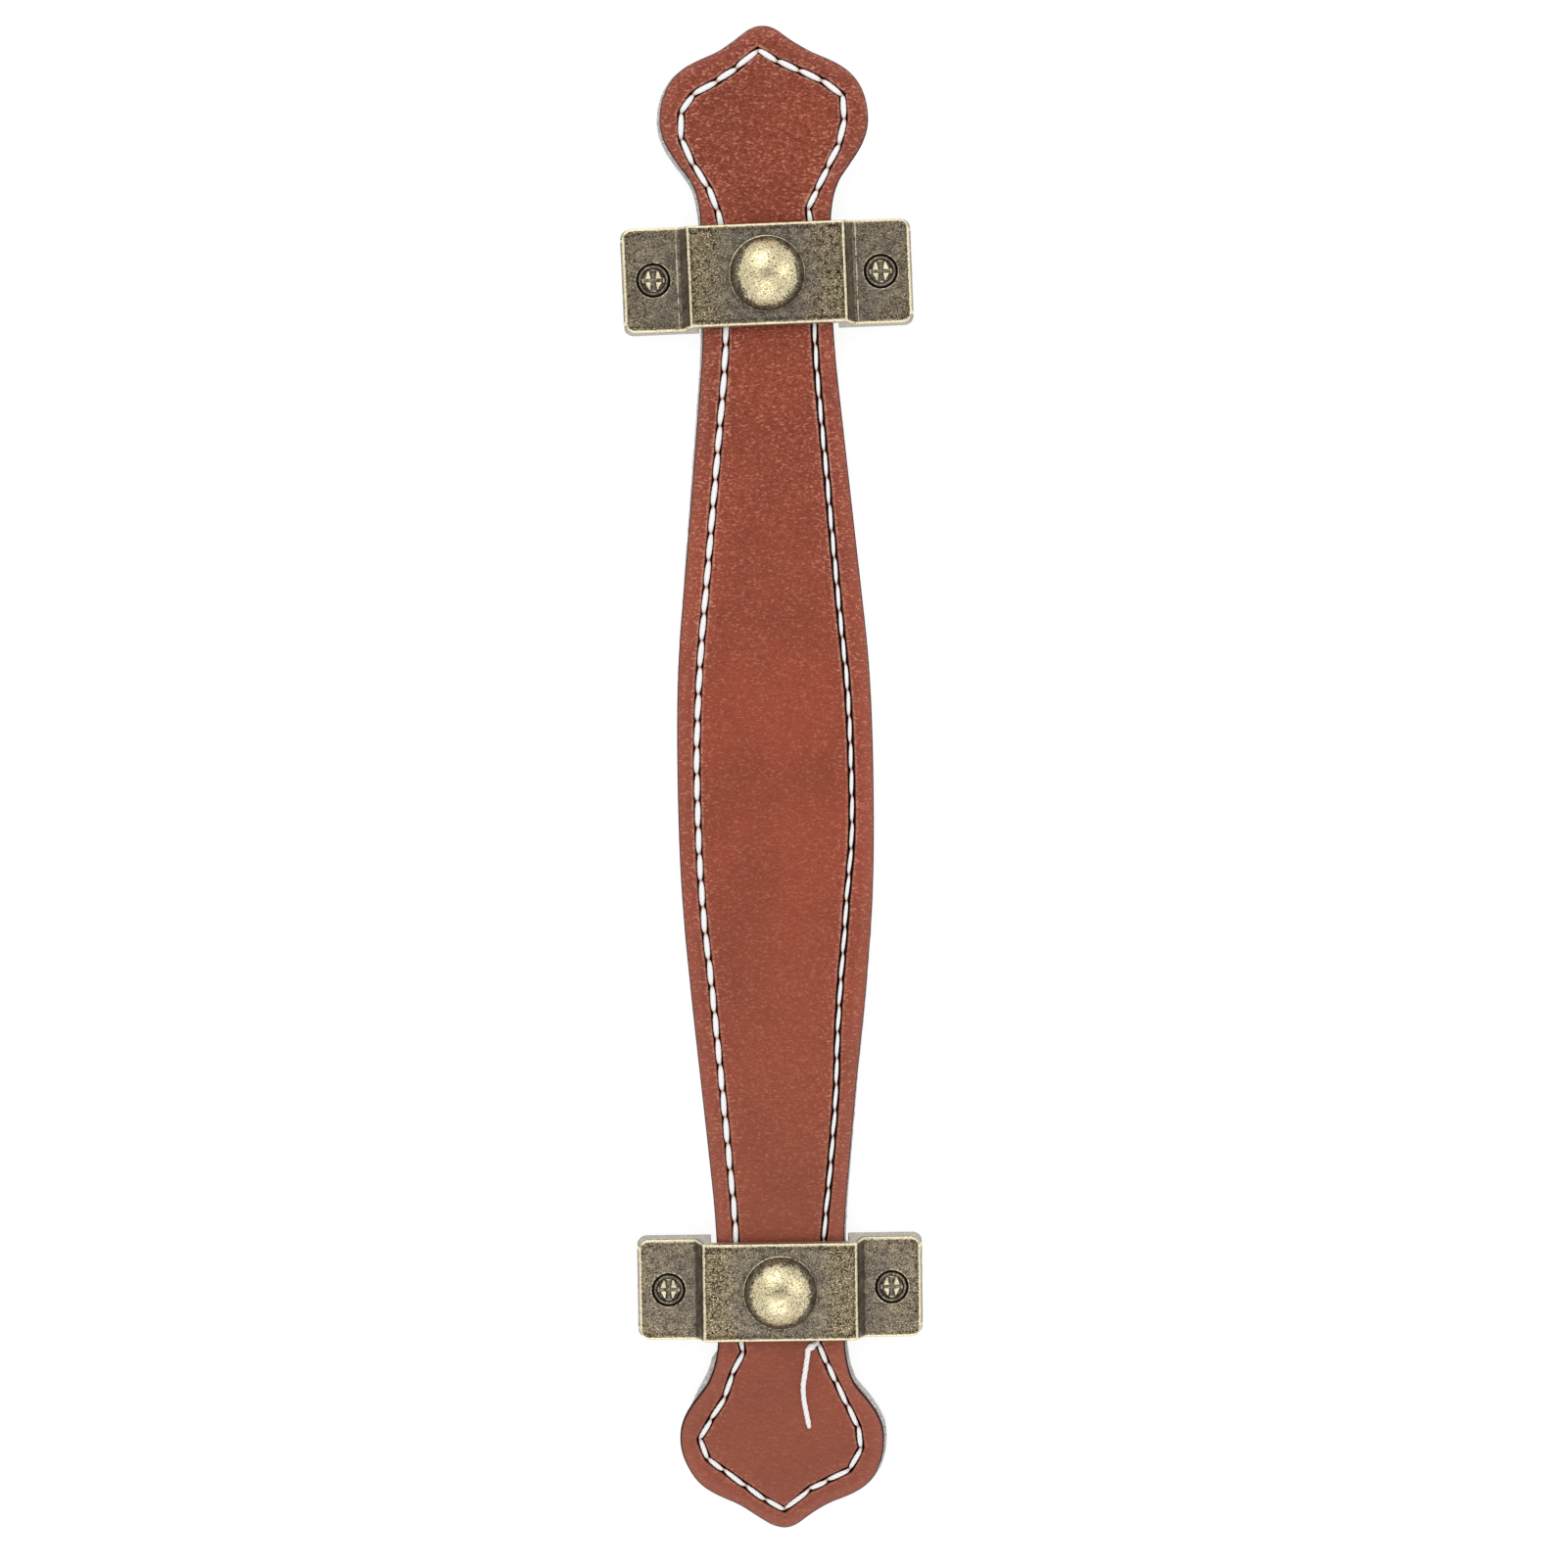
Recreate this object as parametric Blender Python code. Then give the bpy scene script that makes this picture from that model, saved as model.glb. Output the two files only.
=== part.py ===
"""Faux leather strap pull: a two-layer stitched strap held flat by two cast brackets.

Units are metres. The strap runs along +Y, +Z points out of the drawer front, and z = 0 is the
plane that the bracket ears are screwed down to. The origin is midway between the brackets.
"""
import math

import bmesh
import bpy
import numpy as np

# Strap outline, measured from the tip of either end, which are alike
STRAP_LENGTH = 0.260
BRACKET_SPACING = 0.175
LOBE_WIDTH = 0.0350
NECK_WIDTH = 0.0217
MIDDLE_WIDTH = 0.0338
LOBE_FROM_TIP = 0.0160
NOSE_HALF_WIDTH = 0.0029
NOSE_FROM_TIP = 0.0012
NOSE_HEADING = 40
HOLLOW_HALF_WIDTH = 0.0089
HOLLOW_FROM_TIP = 0.00515
HOLLOW_HEADING = 22
SHOULDER_INSET = 0.00225
SHOULDER_FROM_TIP = 0.0089
SHOULDER_HEADING = 50
FLANK_FROM_LOBE = 0.0089
FLANK_SHARE = 0.40
FLANK_HEADING = 130
NECK_FLARE = 0.00012
NECK_HEADING = 93
NECK_HALF_LENGTH = 0.0095
BODY_TAPER_FROM_NECK = 0.0175
BODY_TAPER_RISE = 0.00075
BODY_CROWN_LENGTH = 0.028
BODY_CROWN_RISE = 0.0011
POINTS_PER_KNOT = 24

# Strap layers
SEAT_GAP = 0.0003
STRAP_STANDOFF = 0.00035
BACKING_THICKNESS = 0.0022
FACE_THICKNESS = 0.0017
EDGE_ROLL = 0.0010
BACKING_CHAMFER = 0.0003
BACKING_SKEW = math.radians(0.40)

# Stitching
THREAD_RADIUS = 0.00045
THREAD_PINCH = 0.75
THREAD_PROUD = 0.00025
BOBBIN_PROUD = 0.00015
THREAD_DIP = 0.00035
STITCH_INSET = 0.0035
STITCH_TIP_INSET = 0.0046
LOBE_STITCH = 0.0041
BODY_STITCH = 0.0046
STITCH_SHOULDER = 0.22
GROOVE_FLOOR = 0.0005
GROOVE_LIP = 0.00095
FACE_THREAD_SIDES = 5
BOBBIN_THREAD_SIDES = 4
NOSE_STITCHES = 3
TAIL_REACH = 0.0011
TAIL_ROUTE = ((-0.0014, -0.0009), (-0.0019, -0.0028), (-0.0024, -0.0065), (-0.0026, -0.0095),
              (-0.0023, -0.0122), (-0.0017, -0.0149))

# Brackets
BRACKET_LENGTH = 0.050
BRACKET_WIDTH = 0.0179
SIDE_DRAFT = math.tan(math.radians(5))
END_DRAFT = 0.0005
EAR_THICKNESS = 0.0030
EAR_CORNER = 0.0017
CORNER_STEPS = 4
PLATEAU_WALL = 0.0014
CHANNEL_WALL = 0.0013
RISER_SPLAY = 0.0013
FOOT_FILLET = 0.0005
FOOT_STEPS = 3
EDGE_ROUND = 0.00042
UPPER_TURN = math.radians(1.7)
LOWER_TURN = 0.0
DOME_RADIUS = 0.00635
DOME_RISE = 0.0041
DOME_STEP = 0.0002
BOSS_RADIUS = 0.0040
BOSS_SHORTFALL = 0.0003
BORE_RADIUS = 0.00165
BORE_DEPTH = 0.0082
DOME_SIDES = 28
DOME_RINGS = 5
DOME_FLAT_TOP = 0.4
HEAD_SIDES = 20
BORE_SIDES = 12
NEAR = 0.00001

# Imitation screw heads cast into the ears
HEAD_FROM_CENTRE = 0.0195
HEAD_RADIUS = 0.00285
HEAD_GROOVE_WIDTH = 0.00038
HEAD_GROOVE_DEPTH = 0.0004
CROSS_REACH = 0.00195
CROSS_HALF_WIDTH = 0.00045
CROSS_DEPTH = 0.0006
CROSS_TAPER = 0.6

# Heights and widths that follow from the sizes above
backing_bottom = STRAP_STANDOFF
backing_top = backing_bottom + BACKING_THICKNESS
face_bottom = backing_top + SEAT_GAP
face_top = face_bottom + FACE_THICKNESS
channel_ceiling = face_top + THREAD_PROUD + SEAT_GAP
plateau_top = channel_ceiling + PLATEAU_WALL
half_length = STRAP_LENGTH / 2
bracket_y = BRACKET_SPACING / 2
skew_shift = bracket_y * math.tan(BACKING_SKEW)
turn_shift = BRACKET_WIDTH / 2 * math.tan(max(abs(UPPER_TURN), abs(LOWER_TURN)))
channel_half = NECK_WIDTH / 2 + skew_shift + turn_shift + SEAT_GAP
plateau_half = channel_half + CHANNEL_WALL


def clear_scene():
    for thing in list(bpy.data.objects):
        bpy.data.objects.remove(thing, do_unlink=True)


def finish(name, colour, roughness, metallic):
    """A plain material of one colour."""
    material = bpy.data.materials.new(name)
    material.use_nodes = True
    shader = material.node_tree.nodes["Principled BSDF"]
    shader.inputs["Base Color"].default_value = (*colour, 1.0)
    shader.inputs["Roughness"].default_value = roughness
    shader.inputs["Metallic"].default_value = metallic
    material.diffuse_color = (*colour, 1.0)
    return material


def object_from(bm, name, material=None, smooth_angle=35):
    """Close off a bmesh as an object with outward faces, smooth up to the given angle."""
    bmesh.ops.recalc_face_normals(bm, faces=bm.faces)
    mesh = bpy.data.meshes.new(name)
    bm.to_mesh(mesh)
    bm.free()
    mesh.shade_smooth()
    mesh.set_sharp_from_angle(angle=math.radians(smooth_angle))
    if material:
        mesh.materials.append(material)
    thing = bpy.data.objects.new(name, mesh)
    bpy.context.scene.collection.objects.link(thing)
    return thing


def hide_tool(thing):
    thing.hide_render = True
    thing.display_type = "WIRE"
    return thing


def loft(bm, rings):
    """Bands of four-sided faces between closed rings of as many points; returns the vertex rings."""
    loops = [[bm.verts.new(point) for point in ring] for ring in rings]
    for lower, upper in zip(loops, loops[1:]):
        count = len(lower)
        for i in range(count):
            j = (i + 1) % count
            bm.faces.new((lower[i], lower[j], upper[j], upper[i]))
    return loops


def rung_cap(bm, loop):
    """Close a ring that is symmetric about the strap's centreline with rungs from side to side."""
    count = len(loop)
    half = count // 2
    for i in range(half):
        corners = [loop[i], loop[i + 1], loop[count - i - 1], loop[(count - i) % count]]
        unique = list(dict.fromkeys(corners))
        bm.faces.new(unique)


def smoothstep(low, high, x):
    t = np.clip((x - low) / (high - low), 0.0, 1.0)
    return t * t * (3.0 - 2.0 * t)


def outline_knots():
    """Half-width, distance from the tip and heading of the points that shape half of one end.

    The heading is in degrees: 0 runs straight across the strap and 90 runs along it.
    """
    lobe = LOBE_WIDTH / 2
    neck = NECK_WIDTH / 2
    middle = MIDDLE_WIDTH / 2
    neck_at = half_length - bracket_y
    taper_start = (neck + BODY_TAPER_RISE, neck_at + BODY_TAPER_FROM_NECK)
    taper_end = (middle - BODY_CROWN_RISE, half_length - BODY_CROWN_LENGTH)
    taper_heading = math.degrees(math.atan2(taper_end[1] - taper_start[1],
                                            taper_end[0] - taper_start[0]))
    return (
        (0.0, 0.0, 0),
        (NOSE_HALF_WIDTH, NOSE_FROM_TIP, NOSE_HEADING),
        (HOLLOW_HALF_WIDTH, HOLLOW_FROM_TIP, HOLLOW_HEADING),
        (lobe - SHOULDER_INSET, SHOULDER_FROM_TIP, SHOULDER_HEADING),
        (lobe, LOBE_FROM_TIP, 90),
        (neck + (lobe - neck) * FLANK_SHARE, LOBE_FROM_TIP + FLANK_FROM_LOBE, FLANK_HEADING),
        (neck + NECK_FLARE, neck_at - NECK_HALF_LENGTH, NECK_HEADING),
        (neck, neck_at, 90),
        (*taper_start, taper_heading),
        (*taper_end, taper_heading),
        (middle, half_length, 90),
    )


def half_outline():
    """Right-hand edge of the strap from the lower tip to the upper tip, as fine x, y points."""
    t = np.linspace(0.0, 1.0, POINTS_PER_KNOT, endpoint=False)[:, None]
    pieces = []
    knots = outline_knots()
    for (x0, y0, a0), (x1, y1, a1) in zip(knots, knots[1:]):
        start, end = np.array((x0, y0)), np.array((x1, y1))
        reach = np.linalg.norm(end - start) / 3.0
        leave = start + reach * np.array((math.cos(math.radians(a0)), math.sin(math.radians(a0))))
        arrive = end - reach * np.array((math.cos(math.radians(a1)), math.sin(math.radians(a1))))
        pieces.append((1 - t) ** 3 * start + 3 * (1 - t) ** 2 * t * leave
                      + 3 * (1 - t) * t ** 2 * arrive + t ** 3 * end)
    lower = np.vstack(pieces + [np.array([[MIDDLE_WIDTH / 2, half_length]])])
    lower[:, 1] -= half_length
    upper = lower[-2::-1] * (1.0, -1.0)
    return np.vstack((lower, upper))


def inward_directions(edge):
    """Unit directions into the strap: square to the edge, turning to the lobe's centre at a tip."""
    tangent = np.gradient(edge, axis=0)
    tangent[0] = (1.0, 0.0)
    tangent[-1] = (-1.0, 0.0)
    tangent /= np.linalg.norm(tangent, axis=1)[:, None]
    square = np.column_stack((-tangent[:, 1], tangent[:, 0]))
    lobe_centre = np.column_stack((np.zeros(len(edge)),
                                   np.sign(edge[:, 1]) * (half_length - LOBE_FROM_TIP)))
    to_centre = lobe_centre - edge
    to_centre /= np.linalg.norm(to_centre, axis=1)[:, None]
    from_tip = half_length - np.abs(edge[:, 1])
    weight = 1.0 - smoothstep(NOSE_FROM_TIP, SHOULDER_FROM_TIP, from_tip)
    blend = square * (1.0 - weight[:, None]) + to_centre * weight[:, None]
    return blend / np.linalg.norm(blend, axis=1)[:, None]


class SewingPlan:
    """Where the edge, the stitch holes and the stations between them lie, all round the strap."""

    def __init__(self, parts_per_stitch):
        edge = half_outline()
        inward = inward_directions(edge)
        from_tip = half_length - np.abs(edge[:, 1])
        at_tip = 1.0 - smoothstep(0.0, HOLLOW_FROM_TIP, from_tip)
        inset = STITCH_INSET + (STITCH_TIP_INSET - STITCH_INSET) * at_tip
        seam = edge + inward * inset[:, None]
        step = np.linalg.norm(np.diff(seam, axis=0), axis=1)
        from_tip_mid = (from_tip[1:] + from_tip[:-1]) / 2
        neck_at = half_length - bracket_y
        along_neck = smoothstep(neck_at - NECK_HALF_LENGTH, neck_at + NECK_HALF_LENGTH, from_tip_mid)
        pitch = LOBE_STITCH + (BODY_STITCH - LOBE_STITCH) * along_neck
        phase = np.concatenate(([0.0], np.cumsum(step / pitch)))
        self.stitches = int(round(phase[-1]))
        phase *= self.stitches / phase[-1]

        stations = []
        for k in range(self.stitches):
            near_tip = k < NOSE_STITCHES or k >= self.stitches - NOSE_STITCHES
            parts = 2 * parts_per_stitch if near_tip else parts_per_stitch
            stations += [k + i / parts for i in range(parts)]
        stations = np.array(stations + [float(self.stitches)])

        def read(values, at):
            return np.column_stack([np.interp(at, phase, values[:, c]) for c in range(2)])

        counts = np.arange(self.stitches + 1)
        holes = read(seam, counts)
        seam_x, seam_y = (np.interp(stations, counts, holes[:, c]) for c in range(2))
        self.edge = self.all_round(read(edge, stations))
        self.inward = self.all_round(read(inward, stations))
        self.inward /= np.linalg.norm(self.inward, axis=1)[:, None]
        self.seam = self.all_round(np.column_stack((seam_x, seam_y)))
        share = np.concatenate((stations, stations[-2:0:-1])) % 1.0
        self.lift = 1.0 - np.abs(share - 0.5) * 2.0
        self.holes = self.all_round(holes)

    @staticmethod
    def all_round(right):
        """The right side from the lower to the upper tip, then its mirror image back down."""
        left = right[-2:0:-1] * (-1.0, 1.0)
        return np.vstack((right, left))

    def edge_ring(self, offset, z, skew=0.0):
        """The edge moved inwards, at one height, turned about the middle by the skew."""
        ring = self.edge + self.inward * offset
        turned = np.column_stack((ring[:, 0] * math.cos(skew) - ring[:, 1] * math.sin(skew),
                                  ring[:, 0] * math.sin(skew) + ring[:, 1] * math.cos(skew)))
        return np.column_stack((turned, np.full(len(ring), z)))

    def groove_ring(self, offset, z):
        """A line beside the seam, at a height for each station."""
        ring = self.seam + self.inward * offset
        return np.column_stack((ring, np.broadcast_to(z, len(ring))))


def groove_depth(plan, proud):
    """Depth of the groove at each station, deeper at the holes, for a thread that stands proud."""
    return 2 * THREAD_RADIUS - proud + SEAT_GAP + THREAD_DIP * (1.0 - plan.lift)


def strap_layer(name, rings, material, hole_tool):
    """A layer of the strap lofted through its rings, with both faces closed and the holes cut."""
    bm = bmesh.new()
    loops = loft(bm, rings)
    rung_cap(bm, loops[0])
    rung_cap(bm, loops[-1])
    layer = object_from(bm, name, material, smooth_angle=40)
    cut = layer.modifiers.new("boss_holes", "BOOLEAN")
    cut.operation = "DIFFERENCE"
    cut.solver = "EXACT"
    cut.object = hole_tool
    return layer


def make_strap_face(plan, material, hole_tool):
    """The leathercloth layer, with a rolled front edge and a groove that the stitches pull down."""
    floor = face_top - groove_depth(plan, THREAD_PROUD)
    roll = EDGE_ROLL * (1.0 - math.cos(math.radians(45)))
    rings = [
        plan.edge_ring(0.0, face_bottom),
        plan.edge_ring(0.0, face_top - EDGE_ROLL),
        plan.edge_ring(roll, face_top - roll),
        plan.edge_ring(EDGE_ROLL, face_top),
        plan.groove_ring(-GROOVE_LIP, face_top),
        plan.groove_ring(-GROOVE_FLOOR, floor),
        plan.groove_ring(GROOVE_FLOOR, floor),
        plan.groove_ring(GROOVE_LIP, face_top),
    ]
    return strap_layer("strap_face", rings, material, hole_tool)


def make_strap_backing(plan, material, hole_tool):
    """The felted board behind, glued on a little askew, with a groove for the bobbin thread."""
    floor = backing_bottom + groove_depth(plan, BOBBIN_PROUD)
    rings = [
        plan.edge_ring(0.0, backing_top, BACKING_SKEW),
        plan.edge_ring(0.0, backing_bottom + BACKING_CHAMFER, BACKING_SKEW),
        plan.edge_ring(BACKING_CHAMFER, backing_bottom, BACKING_SKEW),
        plan.groove_ring(-GROOVE_LIP, backing_bottom),
        plan.groove_ring(-GROOVE_FLOOR, floor),
        plan.groove_ring(GROOVE_FLOOR, floor),
        plan.groove_ring(GROOVE_LIP, backing_bottom),
    ]
    return strap_layer("strap_backing", rings, material, hole_tool)


def tail_hole(plan):
    """Index of the first right-hand hole that clears the lower bracket on its way to the tip."""
    limit = -bracket_y - BRACKET_WIDTH / 2 - TAIL_REACH
    right = plan.holes[:plan.stitches + 1]
    return int(np.max(np.nonzero(right[:, 1] < limit)[0]))


def seam_points(plan, first, z_top, z_hole):
    """Points and radii of a strand: up at both shoulders of each stitch and down at each hole.

    The strand starts at hole number first, runs down round the lower tip, up the left side, over
    the upper tip and back down the right side to the hole where it started.
    """
    holes = np.roll(plan.holes, -first, axis=0)[::-1]
    holes = np.vstack((holes[-1], holes))
    start, end = holes[:-1], holes[1:]
    spots = []
    for share, high in ((0.0, False), (STITCH_SHOULDER, True), (1.0 - STITCH_SHOULDER, True)):
        plan_xy = start + (end - start) * share
        height = z_top if high else z_hole
        radius = THREAD_RADIUS * (1.0 if high else THREAD_PINCH)
        spots.append(np.column_stack((plan_xy, np.full(len(start), height),
                                      np.full(len(start), radius))))
    points = np.stack(spots, axis=1).reshape(-1, 4)
    clear_start = start[0] + (end[0] - start[0]) * STITCH_SHOULDER / 2
    points[0, :2] = clear_start
    return points


def strand(points, sides, name, material):
    """A round thread through points of x, y, z and radius, closed at both ends."""
    xy = points[:, :2]
    along = np.gradient(xy, axis=0)
    along /= np.linalg.norm(along, axis=1)[:, None]
    across = np.column_stack((-along[:, 1], along[:, 0]))
    turn = (np.arange(sides) + 0.5) * 2 * math.pi / sides + math.pi / 2
    out = np.cos(turn)[None, :, None] * np.column_stack((across, np.zeros(len(xy))))[:, None, :]
    out = out + np.sin(turn)[None, :, None] * np.array((0.0, 0.0, 1.0))
    rings = points[:, None, :3] + out * points[:, None, 3:4]
    bm = bmesh.new()
    loops = loft(bm, rings)
    bm.faces.new(loops[0])
    bm.faces.new(loops[-1])
    return object_from(bm, name, material, smooth_angle=75)


def make_face_thread(plan, material):
    """The top thread, whose loose tail comes out below the lower bracket and lies on the face."""
    first = tail_hole(plan)
    z_top = face_top + THREAD_PROUD - THREAD_RADIUS
    points = seam_points(plan, first, z_top, z_top - THREAD_DIP + THREAD_RADIUS * (1 - THREAD_PINCH))
    lying = face_top + SEAT_GAP + THREAD_RADIUS
    hole = plan.holes[first]
    route = np.vstack((hole, hole + np.array(TAIL_ROUTE)))
    tail = np.column_stack((route, np.full(len(route), lying), np.full(len(route), THREAD_RADIUS)))
    return strand(np.vstack((points, tail)), FACE_THREAD_SIDES, "face_thread", material)


def make_back_thread(plan, material):
    """The bobbin thread on the back, holding the top thread's loops at the same holes."""
    first = tail_hole(plan)
    z_top = backing_bottom - BOBBIN_PROUD + THREAD_RADIUS
    points = seam_points(plan, first, z_top, z_top + THREAD_DIP - THREAD_RADIUS * (1 - THREAD_PINCH))
    return strand(points, BOBBIN_THREAD_SIDES, "back_thread", material)


def side_half_width(z):
    """Half the bracket's width along the strap at a height, with its moulding draft."""
    return BRACKET_WIDTH / 2 - z * SIDE_DRAFT


def bracket_section():
    """Section across the strap as x, z points: over the ears and plateau, then the channel."""
    end = BRACKET_LENGTH / 2
    foot = []
    riser_foot = plateau_half + RISER_SPLAY
    for step in range(FOOT_STEPS + 1):
        angle = math.pi / 2 * step / FOOT_STEPS
        foot.append((riser_foot + FOOT_FILLET * (1 - math.sin(angle)),
                     EAR_THICKNESS + FOOT_FILLET * (1 - math.cos(angle))))
    right = [(channel_half, 0.0), (end, 0.0), (end - END_DRAFT, EAR_THICKNESS), *foot,
             (plateau_half, plateau_top)]
    left = [(-x, z) for x, z in reversed(right)]
    corner = SEAT_GAP
    ceiling = [(-channel_half, channel_ceiling - corner), (-channel_half + corner, channel_ceiling),
               (channel_half - corner, channel_ceiling), (channel_half, channel_ceiling - corner)]
    return right + left + ceiling


def bracket_body():
    """The bent strip: section carried across, ear corners rounded, upper edges eased."""
    bm = bmesh.new()
    section = bracket_section()
    near = [bm.verts.new((x, -side_half_width(z), z)) for x, z in section]
    far = [bm.verts.new((x, side_half_width(z), z)) for x, z in section]
    bm.faces.new(near)
    bm.faces.new(far)
    for i in range(len(section)):
        j = (i + 1) % len(section)
        bm.faces.new((near[i], near[j], far[j], far[i]))
    bmesh.ops.recalc_face_normals(bm, faces=bm.faces)

    def is_ear_corner(edge):
        ends = [abs(v.co.x) > BRACKET_LENGTH / 2 - END_DRAFT - NEAR for v in edge.verts]
        rises = abs(edge.verts[0].co.z - edge.verts[1].co.z) > EAR_THICKNESS / 2
        return all(ends) and rises

    corners = [edge for edge in bm.edges if is_ear_corner(edge)]
    bmesh.ops.bevel(bm, geom=corners, offset=EAR_CORNER, offset_type="WIDTH", segments=CORNER_STEPS,
                    profile=0.5, affect="EDGES")

    def is_upper_edge(edge):
        if not edge.is_manifold or edge.calc_face_angle() < math.radians(25):
            return False
        low = min(v.co.z for v in edge.verts)
        in_channel = max(abs(v.co.x) for v in edge.verts) < channel_half + NEAR
        return edge.is_convex and low > EAR_THICKNESS - NEAR and not in_channel

    upper = [edge for edge in bm.edges if is_upper_edge(edge)]
    bmesh.ops.bevel(bm, geom=upper, offset=EDGE_ROUND, offset_type="OFFSET", segments=2,
                    profile=0.5, affect="EDGES")
    return object_from(bm, "bracket_body")


def ring_of(radius, z, sides, x=0.0):
    angle = np.arange(sides) * 2 * math.pi / sides
    return np.column_stack((x + radius * np.cos(angle), radius * np.sin(angle), np.full(sides, z)))


def turned(bm, profile, sides, x=0.0):
    """A turned solid about an upright axis, through radius, z pairs, with flat ends."""
    loops = loft(bm, [ring_of(radius, z, sides, x) for radius, z in profile])
    bm.faces.new(loops[0])
    bm.faces.new(loops[-1])


def dome_and_boss():
    """Domed head over the plateau with the screw boss that runs down through the strap."""
    bm = bmesh.new()
    sphere = (DOME_RADIUS ** 2 + DOME_RISE ** 2) / (2 * DOME_RISE)
    spread = math.asin(DOME_RADIUS / sphere)
    base = plateau_top + DOME_STEP
    inside_wall = channel_ceiling + PLATEAU_WALL / 2
    profile = [(BOSS_RADIUS, BOSS_SHORTFALL), (BOSS_RADIUS, inside_wall),
               (DOME_RADIUS, inside_wall), (DOME_RADIUS, base)]
    for ring in range(1, DOME_RINGS + 1):
        angle = spread * (1 - ring / (DOME_RINGS + DOME_FLAT_TOP))
        profile.append((sphere * math.sin(angle), base + DOME_RISE - sphere * (1 - math.cos(angle))))
    turned(bm, profile, DOME_SIDES)
    return object_from(bm, "dome_and_boss")


def cross_tool(bm, x):
    """A cross-shaped tool that narrows downwards, standing over one imitation head."""
    arm, reach = CROSS_HALF_WIDTH, CROSS_REACH
    plan = [(arm, arm), (arm, reach), (-arm, reach), (-arm, arm), (-reach, arm), (-reach, -arm),
            (-arm, -arm), (-arm, -reach), (arm, -reach), (arm, -arm), (reach, -arm), (reach, arm)]
    floor = EAR_THICKNESS - CROSS_DEPTH
    above = EAR_THICKNESS + CROSS_DEPTH
    rings = []
    for z, share in ((floor, CROSS_TAPER), (EAR_THICKNESS, 1.0), (above, 1.0)):
        rings.append([(x + px * share, py * share, z) for px, py in plan])
    loops = loft(bm, rings)
    bm.faces.new(loops[0])
    bm.faces.new(loops[-1])


def groove_tool(bm, x):
    """A ring-shaped tool for the groove round one imitation head."""
    floor = EAR_THICKNESS - HEAD_GROOVE_DEPTH
    above = EAR_THICKNESS + HEAD_GROOVE_DEPTH
    inner = HEAD_RADIUS - HEAD_GROOVE_WIDTH
    profile = ((HEAD_RADIUS, floor), (HEAD_RADIUS, above), (inner, above), (inner, floor))
    rings = [ring_of(radius, z, HEAD_SIDES, x) for radius, z in profile]
    loops = loft(bm, rings)
    for i in range(HEAD_SIDES):
        j = (i + 1) % HEAD_SIDES
        bm.faces.new((loops[-1][i], loops[-1][j], loops[0][j], loops[0][i]))


def recess_tool():
    """The bore for the fixing screw, and both imitation heads' grooves and crosses."""
    bm = bmesh.new()
    mouth = BOSS_SHORTFALL - BORE_RADIUS
    turned(bm, [(BORE_RADIUS, mouth), (BORE_RADIUS, BOSS_SHORTFALL + BORE_DEPTH),
                (BORE_RADIUS / 4, BOSS_SHORTFALL + BORE_DEPTH + BORE_RADIUS / 2)], BORE_SIDES)
    for x in (-HEAD_FROM_CENTRE, HEAD_FROM_CENTRE):
        groove_tool(bm, x)
        cross_tool(bm, x)
    return object_from(bm, "recess_tool")


def bracket_mesh(material):
    """The casting, with the dome and boss joined on and the bore and heads cut in."""
    body = bracket_body()
    tools = (("UNION", dome_and_boss()), ("DIFFERENCE", recess_tool()))
    for operation, tool in tools:
        change = body.modifiers.new(operation.lower(), "BOOLEAN")
        change.operation = operation
        change.solver = "EXACT"
        change.object = tool
    shaped = body.evaluated_get(bpy.context.evaluated_depsgraph_get())
    mesh = bpy.data.meshes.new_from_object(shaped)
    mesh.name = "bracket"
    mesh.shade_smooth()
    mesh.set_sharp_from_angle(angle=math.radians(35))
    mesh.materials.clear()
    mesh.materials.append(material)
    for thing in (body, tools[0][1], tools[1][1]):
        bpy.data.objects.remove(thing, do_unlink=True)
    return mesh


def place_bracket(name, mesh, y, turn):
    bracket = bpy.data.objects.new(name, mesh)
    bracket.location = (0.0, y, 0.0)
    bracket.rotation_euler = (0.0, 0.0, turn)
    bpy.context.scene.collection.objects.link(bracket)
    return bracket


def boss_hole_tool():
    """Two round tools for the holes that let the bosses through the strap."""
    bm = bmesh.new()
    radius = BOSS_RADIUS + SEAT_GAP
    for y in (-bracket_y, bracket_y):
        rings = [ring_of(radius, z, DOME_SIDES) + (0.0, y, 0.0)
                 for z in (backing_bottom - radius, face_top + radius)]
        loops = loft(bm, rings)
        bm.faces.new(loops[0])
        bm.faces.new(loops[-1])
    return hide_tool(object_from(bm, "boss_hole_tool"))


def main():
    clear_scene()
    leather = finish("leathercloth", (0.36, 0.085, 0.045), 0.45, 0.0)
    board = finish("felted_backing", (0.55, 0.52, 0.50), 0.9, 0.0)
    cotton = finish("waxed_thread", (0.86, 0.82, 0.74), 0.6, 0.0)
    brass = finish("antique_brass", (0.30, 0.24, 0.13), 0.4, 1.0)

    plan = SewingPlan(parts_per_stitch=2)
    hole_tool = boss_hole_tool()
    make_strap_face(plan, leather, hole_tool)
    make_strap_backing(SewingPlan(parts_per_stitch=1), board, hole_tool)
    make_face_thread(plan, cotton)
    make_back_thread(plan, cotton)
    casting = bracket_mesh(brass)
    place_bracket("upper_bracket", casting, bracket_y, UPPER_TURN)
    place_bracket("lower_bracket", casting, -bracket_y, LOWER_TURN)


main()
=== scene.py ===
"""Looks of the faux leather strap pull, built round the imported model.

The frame is the CAD one, in metres: +Y runs along the strap, +Z out of the drawer front, and
z = 0 is the plane that the bracket ears rest on. Every new piece is a surface worked out with
numpy from the same sizes as the solids, and stands for the solid that it replaces.
"""
import math

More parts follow.
